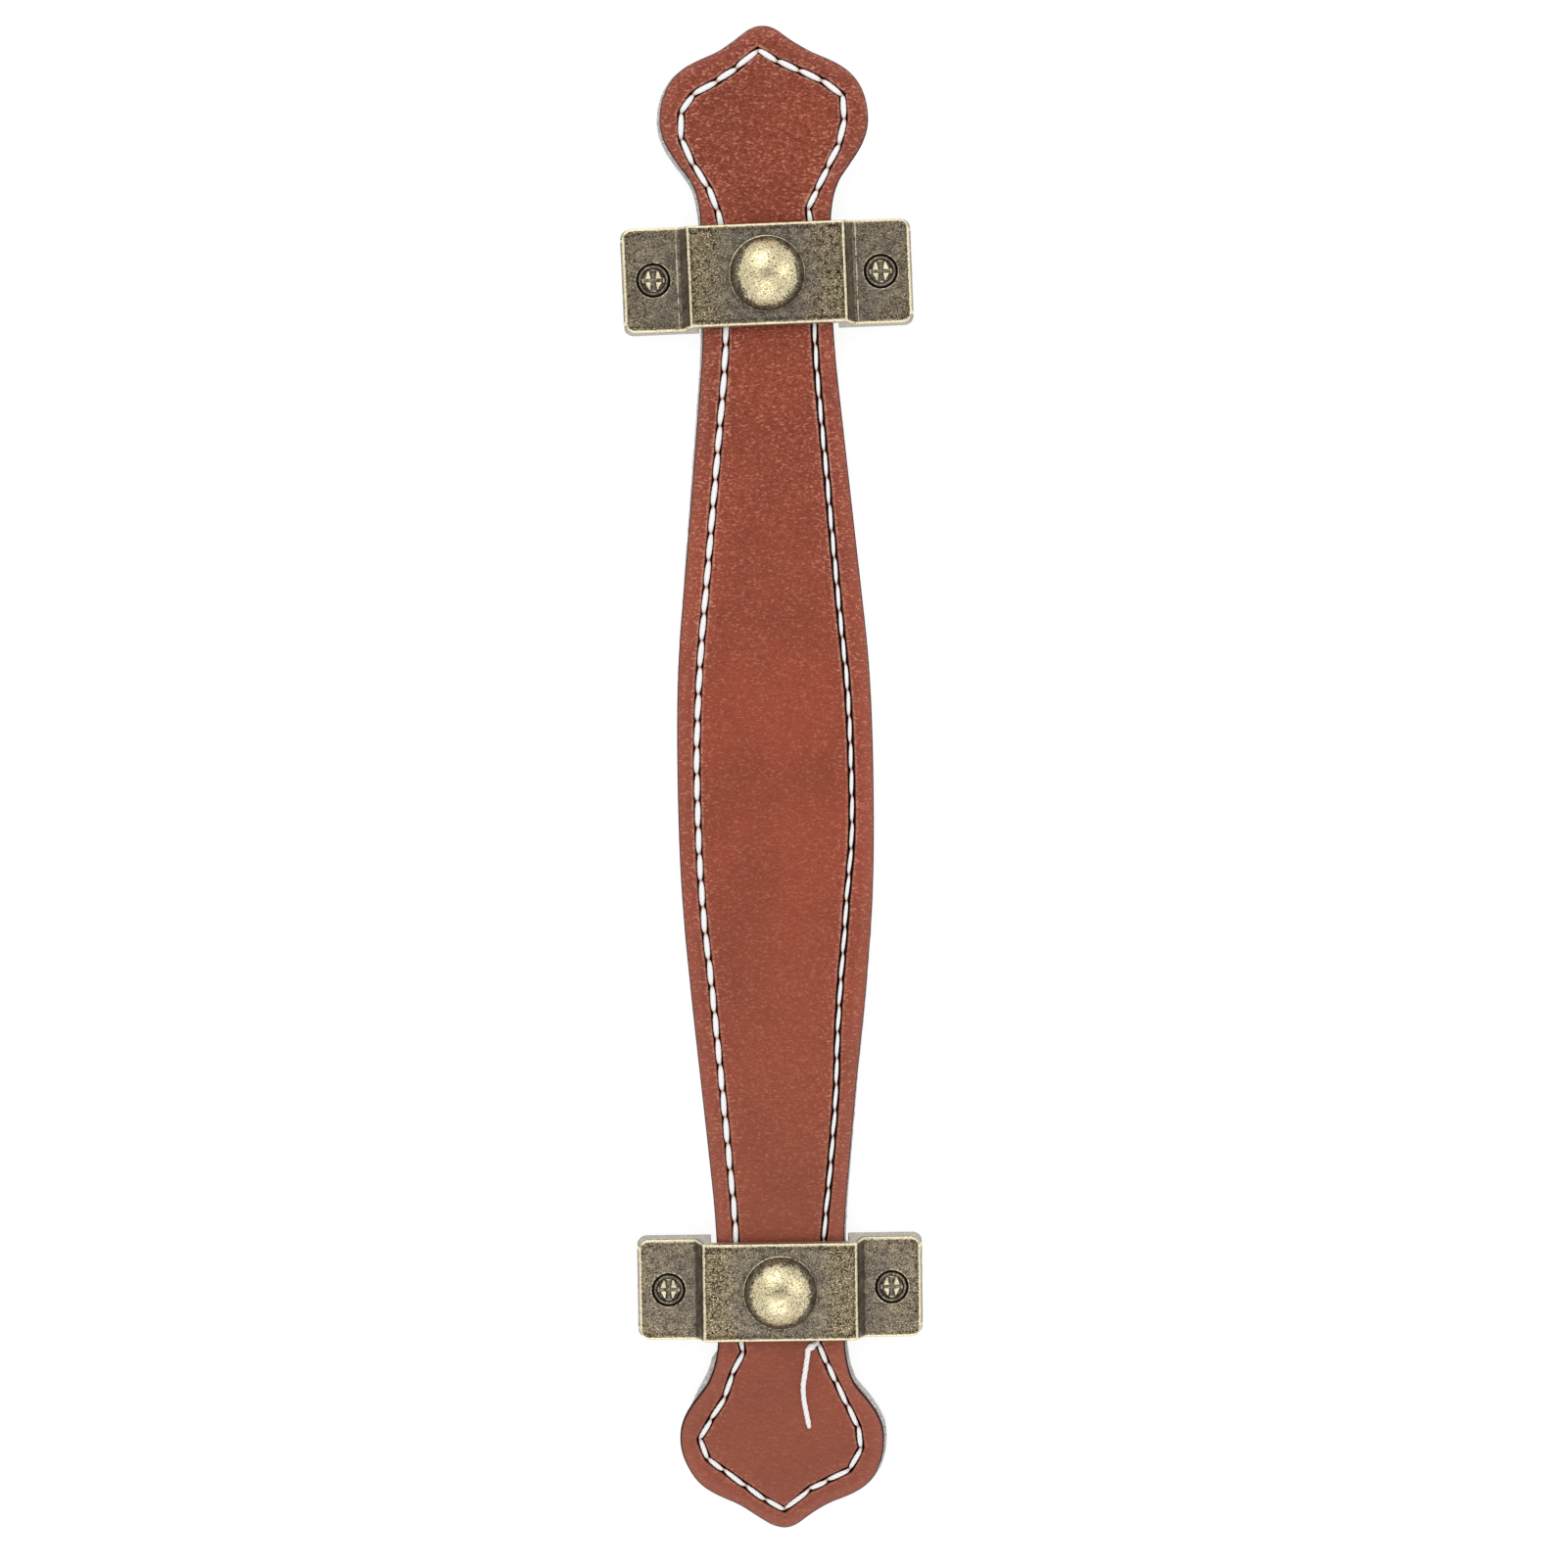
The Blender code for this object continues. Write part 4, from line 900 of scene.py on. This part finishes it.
def build_strip(name, node, material, place, turn, seed, foot_highlight):
    """The bent strip of one casting: its cross profile carried along the strip's path.

    Every station is a closed loop: over the top, round the eased edge, down the drafted side wall
    and back along the underside. Ear corners are rounded by narrowing the loops as a circle does.
    The marks say where the plating is bare, dark, specked or pale, and where a painted highlight
    lies on its edges. Dark is patina in the heads' hollows together with painted shade near the
    foot, up the risers, under the plateau's edge, round the dome and just inside the edges.
    """
    outer, inner = (np.vstack((line, line[-2::-1] * (-1.0, 1.0))) for line in strip_path())
    along = np.gradient(outer, axis=0)
    along /= np.linalg.norm(along, axis=1)[:, None] + 1e-12
    normal = np.column_stack((along[:, 1], -along[:, 0]))
    ease = np.minimum(EDGE_ROUND, 0.45 * np.linalg.norm(outer - inner, axis=1))
    loops, marks = [], {key: [] for key in ("bare", "dark", "speck", "edge", "pale")}

    def side(line):
        """Half width of the strip at each x, z: drafted, and drawn in round the ear's corner."""
        corner_from = BRACKET_HALF - END_DRAFT * line[:, 1] / EAR_TOP - EAR_CORNER
        past = np.clip(np.abs(line[:, 0]) - corner_from, 0.0, EAR_CORNER)
        return (BRACKET_SIDE - line[:, 1] * SIDE_DRAFT - EAR_CORNER
                + np.sqrt(EAR_CORNER ** 2 - past ** 2))

    def add(line, y, **values):
        """Store one loop along the strip at its x, z points and y, with its marks."""
        loops.append(np.column_stack((line[:, 0], y, line[:, 1])))
        for key, stored in marks.items():
            stored.append(np.broadcast_to(values.get(key, 0.0), len(line)))

    def add_wall(way, v):
        """Store one loop of a side wall, from its top at v = 0 to the underside at 1."""
        add(edge_out * (1.0 - v) + inner * v, way * (top_side * (1.0 - v) + low_side * v),
            bare=0.12, dark=0.1, speck=0.6, pale=0.48)

    top_side, low_side = side(outer), side(inner)
    top = top_side - ease
    profile = []
    for u in (*np.linspace(0.0, 0.14, 7), *np.linspace(0.22, 1.0, 9)[:-1]):
        profile.append((-top + (top - HEAD_PATCH) * u, 0.0))
    for y in np.linspace(-3.1, 3.1, HEAD_LINES) * MM:
        profile.append((np.full(len(top), y), 0.0))
    for u in (*np.linspace(0.0, 0.78, 9)[1:], *np.linspace(0.86, 1.0, 7)):
        profile.append((HEAD_PATCH + (top - HEAD_PATCH) * u, 0.0))
    eased = np.radians((15, 30, 45, 60, 75, 90))
    for a in eased:
        profile.append((top + ease * math.sin(a), ease * (1.0 - math.cos(a))))

    # Where along the strip each kind of wear, painted shade and painted highlight lies
    x, z = np.abs(outer[:, 0]), outer[:, 1]
    spots = x - HEAD_FROM_CENTRE
    foot = PLATEAU_HALF + RISER_SPLAY
    on_ear = (z > EAR_TOP - 1e-7) & (x > foot)
    on_top = z > PLATEAU_TOP - 1e-7
    riser = (z > EAR_TOP + 0.05 * MM) & (z < PLATEAU_TOP - 0.40 * MM)
    corner = bell(x, PLATEAU_HALF - 0.10 * MM, 0.24 * MM) * (z > PLATEAU_TOP - 0.5 * MM)
    end = bell(x, BRACKET_HALF - END_DRAFT - 0.1 * MM, 0.24 * MM) * (z > EAR_TOP - 0.6 * MM)
    foot_line = bell(x, foot + 0.74 * MM, 0.15 * MM)
    under_edge = bell(x, PLATEAU_HALF + 0.26 * MM, 0.12 * MM) * riser
    near_foot = np.exp(-np.clip(x - 14.9 * MM, 0, 1) / (1.6 * MM)) * on_ear
    from_end = np.where(on_top, PLATEAU_HALF - x, BRACKET_HALF - END_DRAFT - x)
    spread = np.where(on_top, 0.14 + 0.80 * smoothstep(4.5 * MM, 12.5 * MM, x),
                      0.24 + 0.45 * np.exp(-from_end / (1.8 * MM)))
    climb = np.clip((z - EAR_TOP) / (PLATEAU_TOP - EAR_TOP), 0, 1) * riser
    for y, sink in profile:
        depth, head_bare, head_dark, head_edge = (v * on_ear for v in head_relief(spots, y))
        there = np.column_stack((outer[:, 0], y, z))
        rough = (0.030 * MM * value_noise(there, 2.2 * MM, seed)
                 + 0.012 * MM * value_noise(there, 0.6 * MM, seed + 1))
        from_side = np.maximum(top - np.abs(y), 0.0)
        rim = bell(from_side, 0.0, 0.13 * MM) * (np.abs(y) <= top_side - 0.1 * ease)
        patchy = np.clip(0.9 + 0.7 * value_noise(there, 0.9 * MM, seed + 7), 0, 1)
        # Painted highlight along the foot fillet, weaker on the lower casting
        foot_glint = foot_line * foot_highlight * patchy
        from_edge = np.minimum(np.where(on_top | on_ear, from_end, 1.0), from_side)
        fringe = bell(from_edge, 0.55 * MM, 0.22 * MM) * np.where(on_top, 0.55, 0.3) * patchy
        from_dome = np.hypot(outer[:, 0], y) - DOME_RADIUS
        halo = 0.25 * bell(from_dome, 0.2 * MM, 0.5 * MM) * on_top
        # Patina in the heads' hollows, with painted shade near the foot, up the risers, under the
        # plateau's edge, round the dome and just inside the edges
        patina_and_shade = np.maximum.reduce((
            0.16 * near_foot * (1.0 - foot_glint), (0.05 + 0.22 * climb) * riser, 0.9 * under_edge,
            halo, fringe * (1.0 - np.maximum.reduce((rim, corner, end))), head_dark))
        # bare is rubbed brass, with a painted highlight on the foot lines; edge paints a highlight
        # on the eased edges, the foot lines and the heads' wedges
        add(outer - normal * (sink + depth + rough)[:, None], y,
            bare=np.clip(np.maximum.reduce((rim, corner, end, foot_glint, head_bare)), 0, 1)
            * np.where(riser, 0.85 * rim, 1.0),
            dark=np.clip(patina_and_shade, 0, 1),
            speck=np.clip(spread + 0.35 * np.exp(-from_side / (1.4 * MM)), 0, 1) * (1.0 - riser),
            edge=np.maximum.reduce((rim, corner, end, 0.95 * foot_glint, head_edge))
            * np.where(riser, 0.6 * rim, 1.0))
    edge_out = outer - normal * ease[:, None]
    walls = (0.15, 0.35, 0.6, 0.85, 1.0)
    for v in walls:
        add_wall(1.0, v)
    for u in np.linspace(1.0, -1.0, 13)[1:-1]:
        add(inner, low_side * u, bare=0.05, dark=0.3, speck=0.3)
    for v in walls[::-1]:
        add_wall(-1.0, v)
    for a in eased[::-1]:
        rim = float(math.degrees(a) < 80)
        add(outer - normal * (ease * (1.0 - math.cos(a)))[:, None], -(top + ease * math.sin(a)),
            bare=rim * np.where(riser, 0.6, 1.0), speck=0.5, edge=rim * np.where(riser, 0.5, 1.0))
    grid = np.stack(loops, axis=1)
    # Both ends close in one line on the ground, at even 2 mm of y, shared by top and underside
    grid[[0, -1], :, 0] = outer[[0, -1], :1]
    grid[[0, -1], :, 1] = np.round(grid[[0, -1], :, 1] / (2 * MM)) * 2 * MM
    grid[[0, -1], :, 2] = 0.0
    marks = {key: np.stack(stored, axis=1).ravel() for key, stored in marks.items()}
    return make_piece(name, place_casting(grid.reshape(-1, 3), place, turn),
                      grid_quads(len(outer), len(loops)), material, node, marks)


def place_casting(points, place, turn):
    """Points of a casting turned about the upright axis and moved to its place, never below 0."""
    c, s = math.cos(turn), math.sin(turn)
    return np.column_stack((points[:, 0] * c - points[:, 1] * s + place[0],
                            points[:, 0] * s + points[:, 1] * c + place[1],
                            np.maximum(points[:, 2], 0.0)))


def build_dome(name, node, material, place, turn, seed, wear):
    """Dome, boss and bore of one casting, as one profile turned about the upright axis.

    The dome is a spherical cap that stands on a thin step. Its surface moves by noise, as a
    tumbled casting's does. Its bare patch is an ellipse, narrowed by the two numbers of wear. The
    ring at its foot takes a painted highlight on its upper left, and the cap's low sides take
    painted shade, heavier on the side away from it.
    """
    base = PLATEAU_TOP + DOME_STEP
    sphere = (DOME_RADIUS ** 2 + DOME_RISE ** 2) / (2 * DOME_RISE)
    spread = math.asin(DOME_RADIUS / sphere)
    step = DOME_RADIUS + 0.16 * MM
    cap = np.linspace(spread, 0.0, 46)
    profile = np.vstack((
        ((0.0, BORE_END + 0.8 * MM), (0.4 * MM, BORE_END + 0.8 * MM), (BORE_RADIUS, BORE_END)),
        ((BORE_RADIUS, BOSS_BOTTOM + 0.25 * MM), (BORE_RADIUS + 0.25 * MM, BOSS_BOTTOM)),
        ((BOSS_RADIUS - 0.2 * MM, BOSS_BOTTOM), (BOSS_RADIUS, BOSS_BOTTOM + 0.2 * MM)),
        ((BOSS_RADIUS, CHANNEL_CEILING - 0.4 * MM),),
        ((BOSS_RADIUS + 0.4 * MM, CHANNEL_CEILING + 0.02 * MM),),
        ((step, CHANNEL_CEILING + 0.5 * MM), (step, PLATEAU_TOP + 0.02 * MM)),
        ((step - 0.03 * MM, PLATEAU_TOP + 0.13 * MM), (step - 0.10 * MM, base - 0.02 * MM)),
        ((step - 0.19 * MM, base - 0.03 * MM), (DOME_RADIUS - 0.06 * MM, base + 0.06 * MM)),
        np.column_stack((sphere * np.sin(cap[1:]),
                         base + DOME_RISE - sphere * (1 - np.cos(cap[1:])))),
    ))
    sides = 144
    angle = np.arange(sides) * 2 * math.pi / sides
    r, z = profile[:, :1], profile[:, 1:]
    points = np.stack((r * np.cos(angle), r * np.sin(angle),
                       np.broadcast_to(z, (len(r), sides))), axis=-1)
    points = points.reshape(-1, 3)
    on_cap = np.repeat(profile[:, 1] > base + 0.05 * MM, sides)
    rough = (0.035 * MM * value_noise(points, 2.0 * MM, seed)
             + 0.012 * MM * value_noise(points, 0.5 * MM, seed + 1))
    away = unit(points - (0.0, 0.0, base + DOME_RISE - sphere))
    radius = np.repeat(profile[:, 0], sides)
    points = points + away * (rough * on_cap * smoothstep(0.0, 0.8 * MM, radius))[:, None]
    top = np.repeat(profile[:, 1] > PLATEAU_TOP, sides)
    height = np.repeat(profile[:, 1], sides)
    # Painted light: the foot ring is painted brighter, with an edge highlight, on its upper left,
    # and the cap's low sides are painted darker, most on the side away from it
    lit_side = 0.5 + 0.5 * (points[:, 1] - 0.7 * points[:, 0]) / (1.22 * np.maximum(radius, MM))
    from_middle = np.hypot(points[:, 0] * wear[0], points[:, 1] * wear[1])
    ragged = 0.45 * MM * value_noise(points, 0.8 * MM, seed + 2)
    bare = (1.0 - smoothstep(3.9 * MM, 6.9 * MM, from_middle + ragged)) * top
    ring = bell(radius, step - 0.08 * MM, 0.07 * MM) * top
    bare = np.maximum(bare, (0.42 + 0.5 * lit_side) * ring * (height < base + 0.2 * MM))
    dark = (1.0 - smoothstep(base + 0.2 * MM, base + 2.1 * MM, height)) * top
    dark *= 0.52 - 0.14 * lit_side
    dark = np.where(ring > 0.3, 0.25 * (1.0 - lit_side), dark)
    marks = {"bare": np.clip(bare, 0, 1), "dark": np.clip(dark, 0, 1), "speck": 0.5 * top,
             "edge": 0.5 * ring * lit_side}
    return make_piece(name, place_casting(points, place, turn), grid_quads(len(profile), sides),
                      material, node, marks)


def antique_brass(settings):
    """Zinc casting plated with brass, blackened, then tumbled and lacquered.

    Brown-black patina stays in the hollows and in specks of about 0.4 mm, which gather and thin
    out over a millimetre or so; brass shows pale and brighter where the tumbling wore it, on
    edges and on the dome. The near-black coat lays that patina together with painted shade. The
    sharp edges take a painted highlight, the palest colour and the least metallic. The side walls
    are coloured a pale grey.
    """
    material, tree, where = new_material("antique_brass_plating")
    fine, grit, patches, clusters = (
        add_node(tree, "TexNoise", {"Vector": where, "Scale": 1 / (cell * MM), "Detail": detail,
                                    "Roughness": roughness, "Distortion": distortion})
        for cell, detail, roughness, distortion in (
            (0.42, 3.0, 0.75, 0.2), (0.25, 1.0, 0.5, 0.0), (3.2, 4.0, 0.62, 0.0),
            (1.3, 2.0, 0.5, 0.0)))
    bare, dark, speck, edge, pale = (
        add_node(tree, "Attribute", output="Fac", attribute_name=name)
        for name in ("bare", "dark", "speck", "edge", "pale"))
    spread, wearing, relief = (add_node(tree, "Math", pair, operation="ADD")
                               for pair in ((patches, speck), (fine, bare), (fine, grit)))
    (mottled, pitted, sparked, lifted, gritty, tumbled, gathered, thinned, worn, bright, scratched,
     broken) = (
        add_node(tree, "MapRange", numbers, interpolation_type="SMOOTHSTEP") for numbers in (
            (patches, 0.38, 0.62, 0.0, 1.0), (fine, 0.36, 0.56, 0.8, 0.0),
            (grit, 0.58, 0.68, 0.0, 0.6), (fine, 0.41, 0.56, 0.0, 1.0),
            (grit, 0.57, 0.66, 0.0, 1.0), (spread, 0.45, 1.55, 0.0, 1.0),
            (clusters, 0.36, 0.54, 0.24, 0.0), (clusters, 0.52, 0.70, 0.0, 0.20),
            (wearing, 0.88, 1.12, 0.0, 1.0), (fine, 0.40, 0.54, 0.0, 1.0),
            (grit, 0.34, 0.43, 1.0, 0.0), (fine, 0.38, 0.54, 0.30, 1.0)))
    highlight_share = add_node(tree, "Math", (worn, broken), operation="MULTIPLY")
    edge_highlight = add_node(tree, "Math", (edge, highlight_share), operation="MULTIPLY")
    smooth = lay_coats(tree, "#827970", (mottled, "#988e7f"), (pitted, "#4a4034"),
                       (sparked, "#e6dbc0"))
    patina = lay_coats(tree, "#2f2417", (lifted, (*settings.patina_colour, 1.0)),
                           (gritty, "#fff3d2"))
    rubbed = lay_coats(tree, "#d6c391", (bright, (*settings.brass_colour, 1.0)),
                       (scratched, "#6b5b3c"))
    # Painted light in these coats: the near-white edge coat is a painted highlight, and the
    # near-black dark coat is patina with painted shade
    base = lay_coats(
        tree, smooth, (tumbled, patina), (gathered, "#2e261b"), (thinned, "#d9caa4"),
        (worn, rubbed), (edge_highlight, "#fff4cf"), (pale, "#e4e0da"), (dark, "#100e0c"))
    gloss, metal = (
        add_node(tree, "MapRange", numbers, interpolation_type="SMOOTHSTEP")
        for numbers in ((worn, 0.0, 1.0, 0.46, 0.36), (edge_highlight, 0.0, 1.0, 0.92, 0.50)))
    bump = add_node(tree, "Bump", {"Height": relief, "Strength": 0.35, "Distance": 0.05 * MM})
    set_inputs(tree, tree.nodes["Principled BSDF"],
               {"Base Color": base, "Roughness": gloss, "Normal": bump, "Metallic": metal})
    return material


# ---- Studio

def floor_material():
    """Matt white paper that the camera and the metal see as white, and that keeps the shadow."""
    material = bpy.data.materials.new("matt_white_paper")
    material.use_nodes = True
    tree = material.node_tree
    tree.nodes.remove(tree.nodes["Principled BSDF"])
    seen = add_node(tree, "LightPath", output="Is Camera Ray")
    rays = seen.node.outputs
    for kind in ("Is Glossy Ray", "Is Transmission Ray"):
        seen = add_node(tree, "Math", (seen, rays[kind]), operation="MAXIMUM")
    shaded = add_node(tree, "BsdfDiffuse", {"Color": linear("#707070")})
    glow = add_node(tree, "Emission", {"Color": linear("#ffffff"), "Strength": 0.88})
    backdrop = add_node(tree, "AddShader", (shaded, glow))
    paper = add_node(tree, "BsdfDiffuse", {"Color": linear("#efefef")})
    either = add_node(tree, "MixShader", (seen, paper, backdrop))
    set_inputs(tree, tree.nodes["Material Output"], {"Surface": either})
    return material


def light_tent(level):
    """White walls all round, with a dim opening overhead where the camera looks in.

    The opening is round and leans towards +Y by TENT_LEAN: the strength is a smooth step of the
    cosine between the direction and its middle, times one of the direction's height. The camera
    itself sees the walls as white.
    """
    world = bpy.data.worlds.new("light_tent")
    world.use_nodes = True
    tree = world.node_tree
    where = add_node(tree, "TexCoord", output="Object")
    height = add_node(tree, "SeparateXYZ", (where,), "Z")
    middle = (0.0, math.sin(TENT_LEAN), math.cos(TENT_LEAN))
    closeness = add_node(tree, "VectorMath", (where, middle), "Value", operation="DOT_PRODUCT")
    opening, low = (
        add_node(tree, "MapRange", numbers, interpolation_type="SMOOTHSTEP")
        for numbers in ((closeness, 0.86, 0.985, level, 0.12 * level),
                        (height, -0.1, 0.2, 0.5, 1.0)))
    lit = add_node(tree, "Math", (opening, low), operation="MULTIPLY")
    camera = add_node(tree, "LightPath", output="Is Camera Ray")
    strength = add_node(tree, "Math", (lit, camera), operation="MAXIMUM")
    set_inputs(tree, tree.nodes["Background"],
               {"Color": linear("#ffffff"), "Strength": strength})
    return world


def soft_lamp(name, place, size, watts):
    """A square soft box at a place, facing the middle of the strap."""
    light = bpy.data.lights.new(name, "AREA")
    light.size = size
    light.energy = watts
    lamp = bpy.data.objects.new(name, light)
    lamp.location = place
    lamp.rotation_euler = (-Vector(place)).to_track_quat("-Z", "Y").to_euler()
    bpy.context.scene.collection.objects.link(lamp)
    return lamp


def build_stage(settings):
    """Floor, plain view, walls of light, three soft boxes and the camera."""
    half = 6.0
    mesh = bpy.data.meshes.new("floor")
    mesh.from_pydata([(-half, -half, 0), (half, -half, 0), (half, half, 0), (-half, half, 0)], [],
                     [(0, 1, 2, 3)])
    mesh.materials.append(floor_material())
    floor = bpy.data.objects.new("floor", mesh)
    bpy.context.scene.collection.objects.link(floor)
    floor.location.z = -0.02 * MM

    scene = bpy.context.scene
    scene.view_settings.view_transform = "Standard"
    scene.world = light_tent(settings.air_level)
    level = settings.lamp_level
    soft_lamp("lamp_top_left", (-0.30, 0.78, 0.80), 0.90, 3.6 * level)
    soft_lamp("lamp_right", (0.80, 0.25, 0.75), 0.70, 1.3 * level)
    soft_lamp("lamp_bottom", (-0.10, -0.72, 0.90), 0.90, 2.4 * level)

    camera = bpy.data.cameras.new("camera")
    camera.lens = CAMERA_LENS
    camera.sensor_width = 36.0
    camera.clip_start, camera.clip_end = 0.01, 20.0
    holder = bpy.data.objects.new("camera", camera)
    holder.location = CAMERA_PLACE
    holder.rotation_euler = Euler([math.radians(a) for a in CAMERA_TURN])
    scene.collection.objects.link(holder)
    scene.camera = holder


# ---- Settings, operators and panel

class StrapPullSettings(bpy.types.PropertyGroup):
    """Sizes and colours that a user would change."""

    leather_colour: FloatVectorProperty(
        name="Leathercloth", description="Colour of the strap's face", subtype="COLOR",
        size=3, min=0.0, max=1.0, default=linear("#9c442a")[:3])
    grain_size: FloatProperty(
        name="Grain Size", description="Distance between two pebbles of the pressed grain",
        subtype="DISTANCE", unit="LENGTH", min=0.0003, max=0.003, precision=5, default=0.0009)
    board_colour: FloatVectorProperty(
        name="Board", description="Colour of the fibre board's back", subtype="COLOR",
        size=3, min=0.0, max=1.0, default=linear("#c9c4c0")[:3])
    thread_colour: FloatVectorProperty(
        name="Thread", description="Colour of the sewing thread", subtype="COLOR",
        size=3, min=0.0, max=1.0, default=linear("#ffffff")[:3])
    patina_colour: FloatVectorProperty(
        name="Patina", description="Lighter colour of the brown patina", subtype="COLOR",
        size=3, min=0.0, max=1.0, default=linear("#9f8b69")[:3])
    brass_colour: FloatVectorProperty(
        name="Bare Brass", description="Colour of the brass where it is worn bright",
        subtype="COLOR", size=3, min=0.0, max=1.0, default=linear("#fbf0ca")[:3])
    lamp_level: FloatProperty(
        name="Lamps", description="Level of the soft boxes", min=0.0, max=4.0, default=1.05)
    air_level: FloatProperty(
        name="Air", description="Level of the even light from all round", min=0.0, max=2.0,
        default=0.74)


class STRAPPULL_OT_leather_face(bpy.types.Operator):
    """Make the stitched leathercloth face of the strap"""

    bl_idname = "strap_pull.leather_face"
    bl_label = "Leathercloth Face"

    def execute(self, context):
        build_leather_face(leathercloth(context.scene.strap_pull))
        return {"FINISHED"}


class STRAPPULL_OT_board(bpy.types.Operator):
    """Make the fibre board behind the face"""

    bl_idname = "strap_pull.board"
    bl_label = "Fibre Board"

    def execute(self, context):
        build_board(fibre_board(context.scene.strap_pull))
        return {"FINISHED"}


class STRAPPULL_OT_threads(bpy.types.Operator):
    """Make the seam thread with its loose tail, and the bobbin thread"""

    bl_idname = "strap_pull.threads"
    bl_label = "Sewing Threads"

    def execute(self, context):
        build_threads(sewing_thread(context.scene.strap_pull))
        return {"FINISHED"}


class STRAPPULL_OT_castings(bpy.types.Operator):
    """Make both bracket castings with their domes, bosses and imitation heads"""

    bl_idname = "strap_pull.castings"
    bl_label = "Bracket Castings"

    def execute(self, context):
        brass = antique_brass(context.scene.strap_pull)
        for word, (way, shift, turn, seed, foot_highlight, dome_wear) in CASTINGS.items():
            place = (shift[0], way * (BRACKET_Y + CASTING_OUTWARD) + shift[1])
            build_strip(f"{word}_strip", f"{word}_bracket", brass, place, turn, seed, foot_highlight)
            build_dome(f"{word}_dome", f"{word}_bracket", brass, place, turn, seed + 4, dome_wear)
        return {"FINISHED"}


class STRAPPULL_OT_stage(bpy.types.Operator):
    """Make the floor, the soft boxes and the camera"""

    bl_idname = "strap_pull.stage"
    bl_label = "Studio"

    def execute(self, context):
        build_stage(context.scene.strap_pull)
        return {"FINISHED"}


OPERATORS = (STRAPPULL_OT_leather_face, STRAPPULL_OT_board, STRAPPULL_OT_threads,
             STRAPPULL_OT_castings, STRAPPULL_OT_stage)


class STRAPPULL_PT_panel(bpy.types.Panel):
    """Lists the pieces of the strap pull"""

    bl_idname = "STRAPPULL_PT_panel"
    bl_label = "Strap Pull"
    bl_space_type = "VIEW_3D"
    bl_region_type = "UI"
    bl_category = "Strap Pull"

    def draw(self, context):
        settings = context.scene.strap_pull
        for name in StrapPullSettings.__annotations__:
            self.layout.prop(settings, name)
        for operator in OPERATORS:
            self.layout.operator(operator.bl_idname)


CLASSES = (StrapPullSettings, *OPERATORS, STRAPPULL_PT_panel)


def register():
    for item in CLASSES:
        bpy.utils.register_class(item)
    bpy.types.Scene.strap_pull = PointerProperty(type=StrapPullSettings)


def unregister():
    del bpy.types.Scene.strap_pull
    for item in reversed(CLASSES):
        bpy.utils.unregister_class(item)


def main():
    """Make every piece and the stage."""
    register()
    bpy.ops.strap_pull.leather_face()
    bpy.ops.strap_pull.board()
    bpy.ops.strap_pull.threads()
    bpy.ops.strap_pull.castings()
    bpy.ops.strap_pull.stage()


if __name__ == "__main__":
    main()
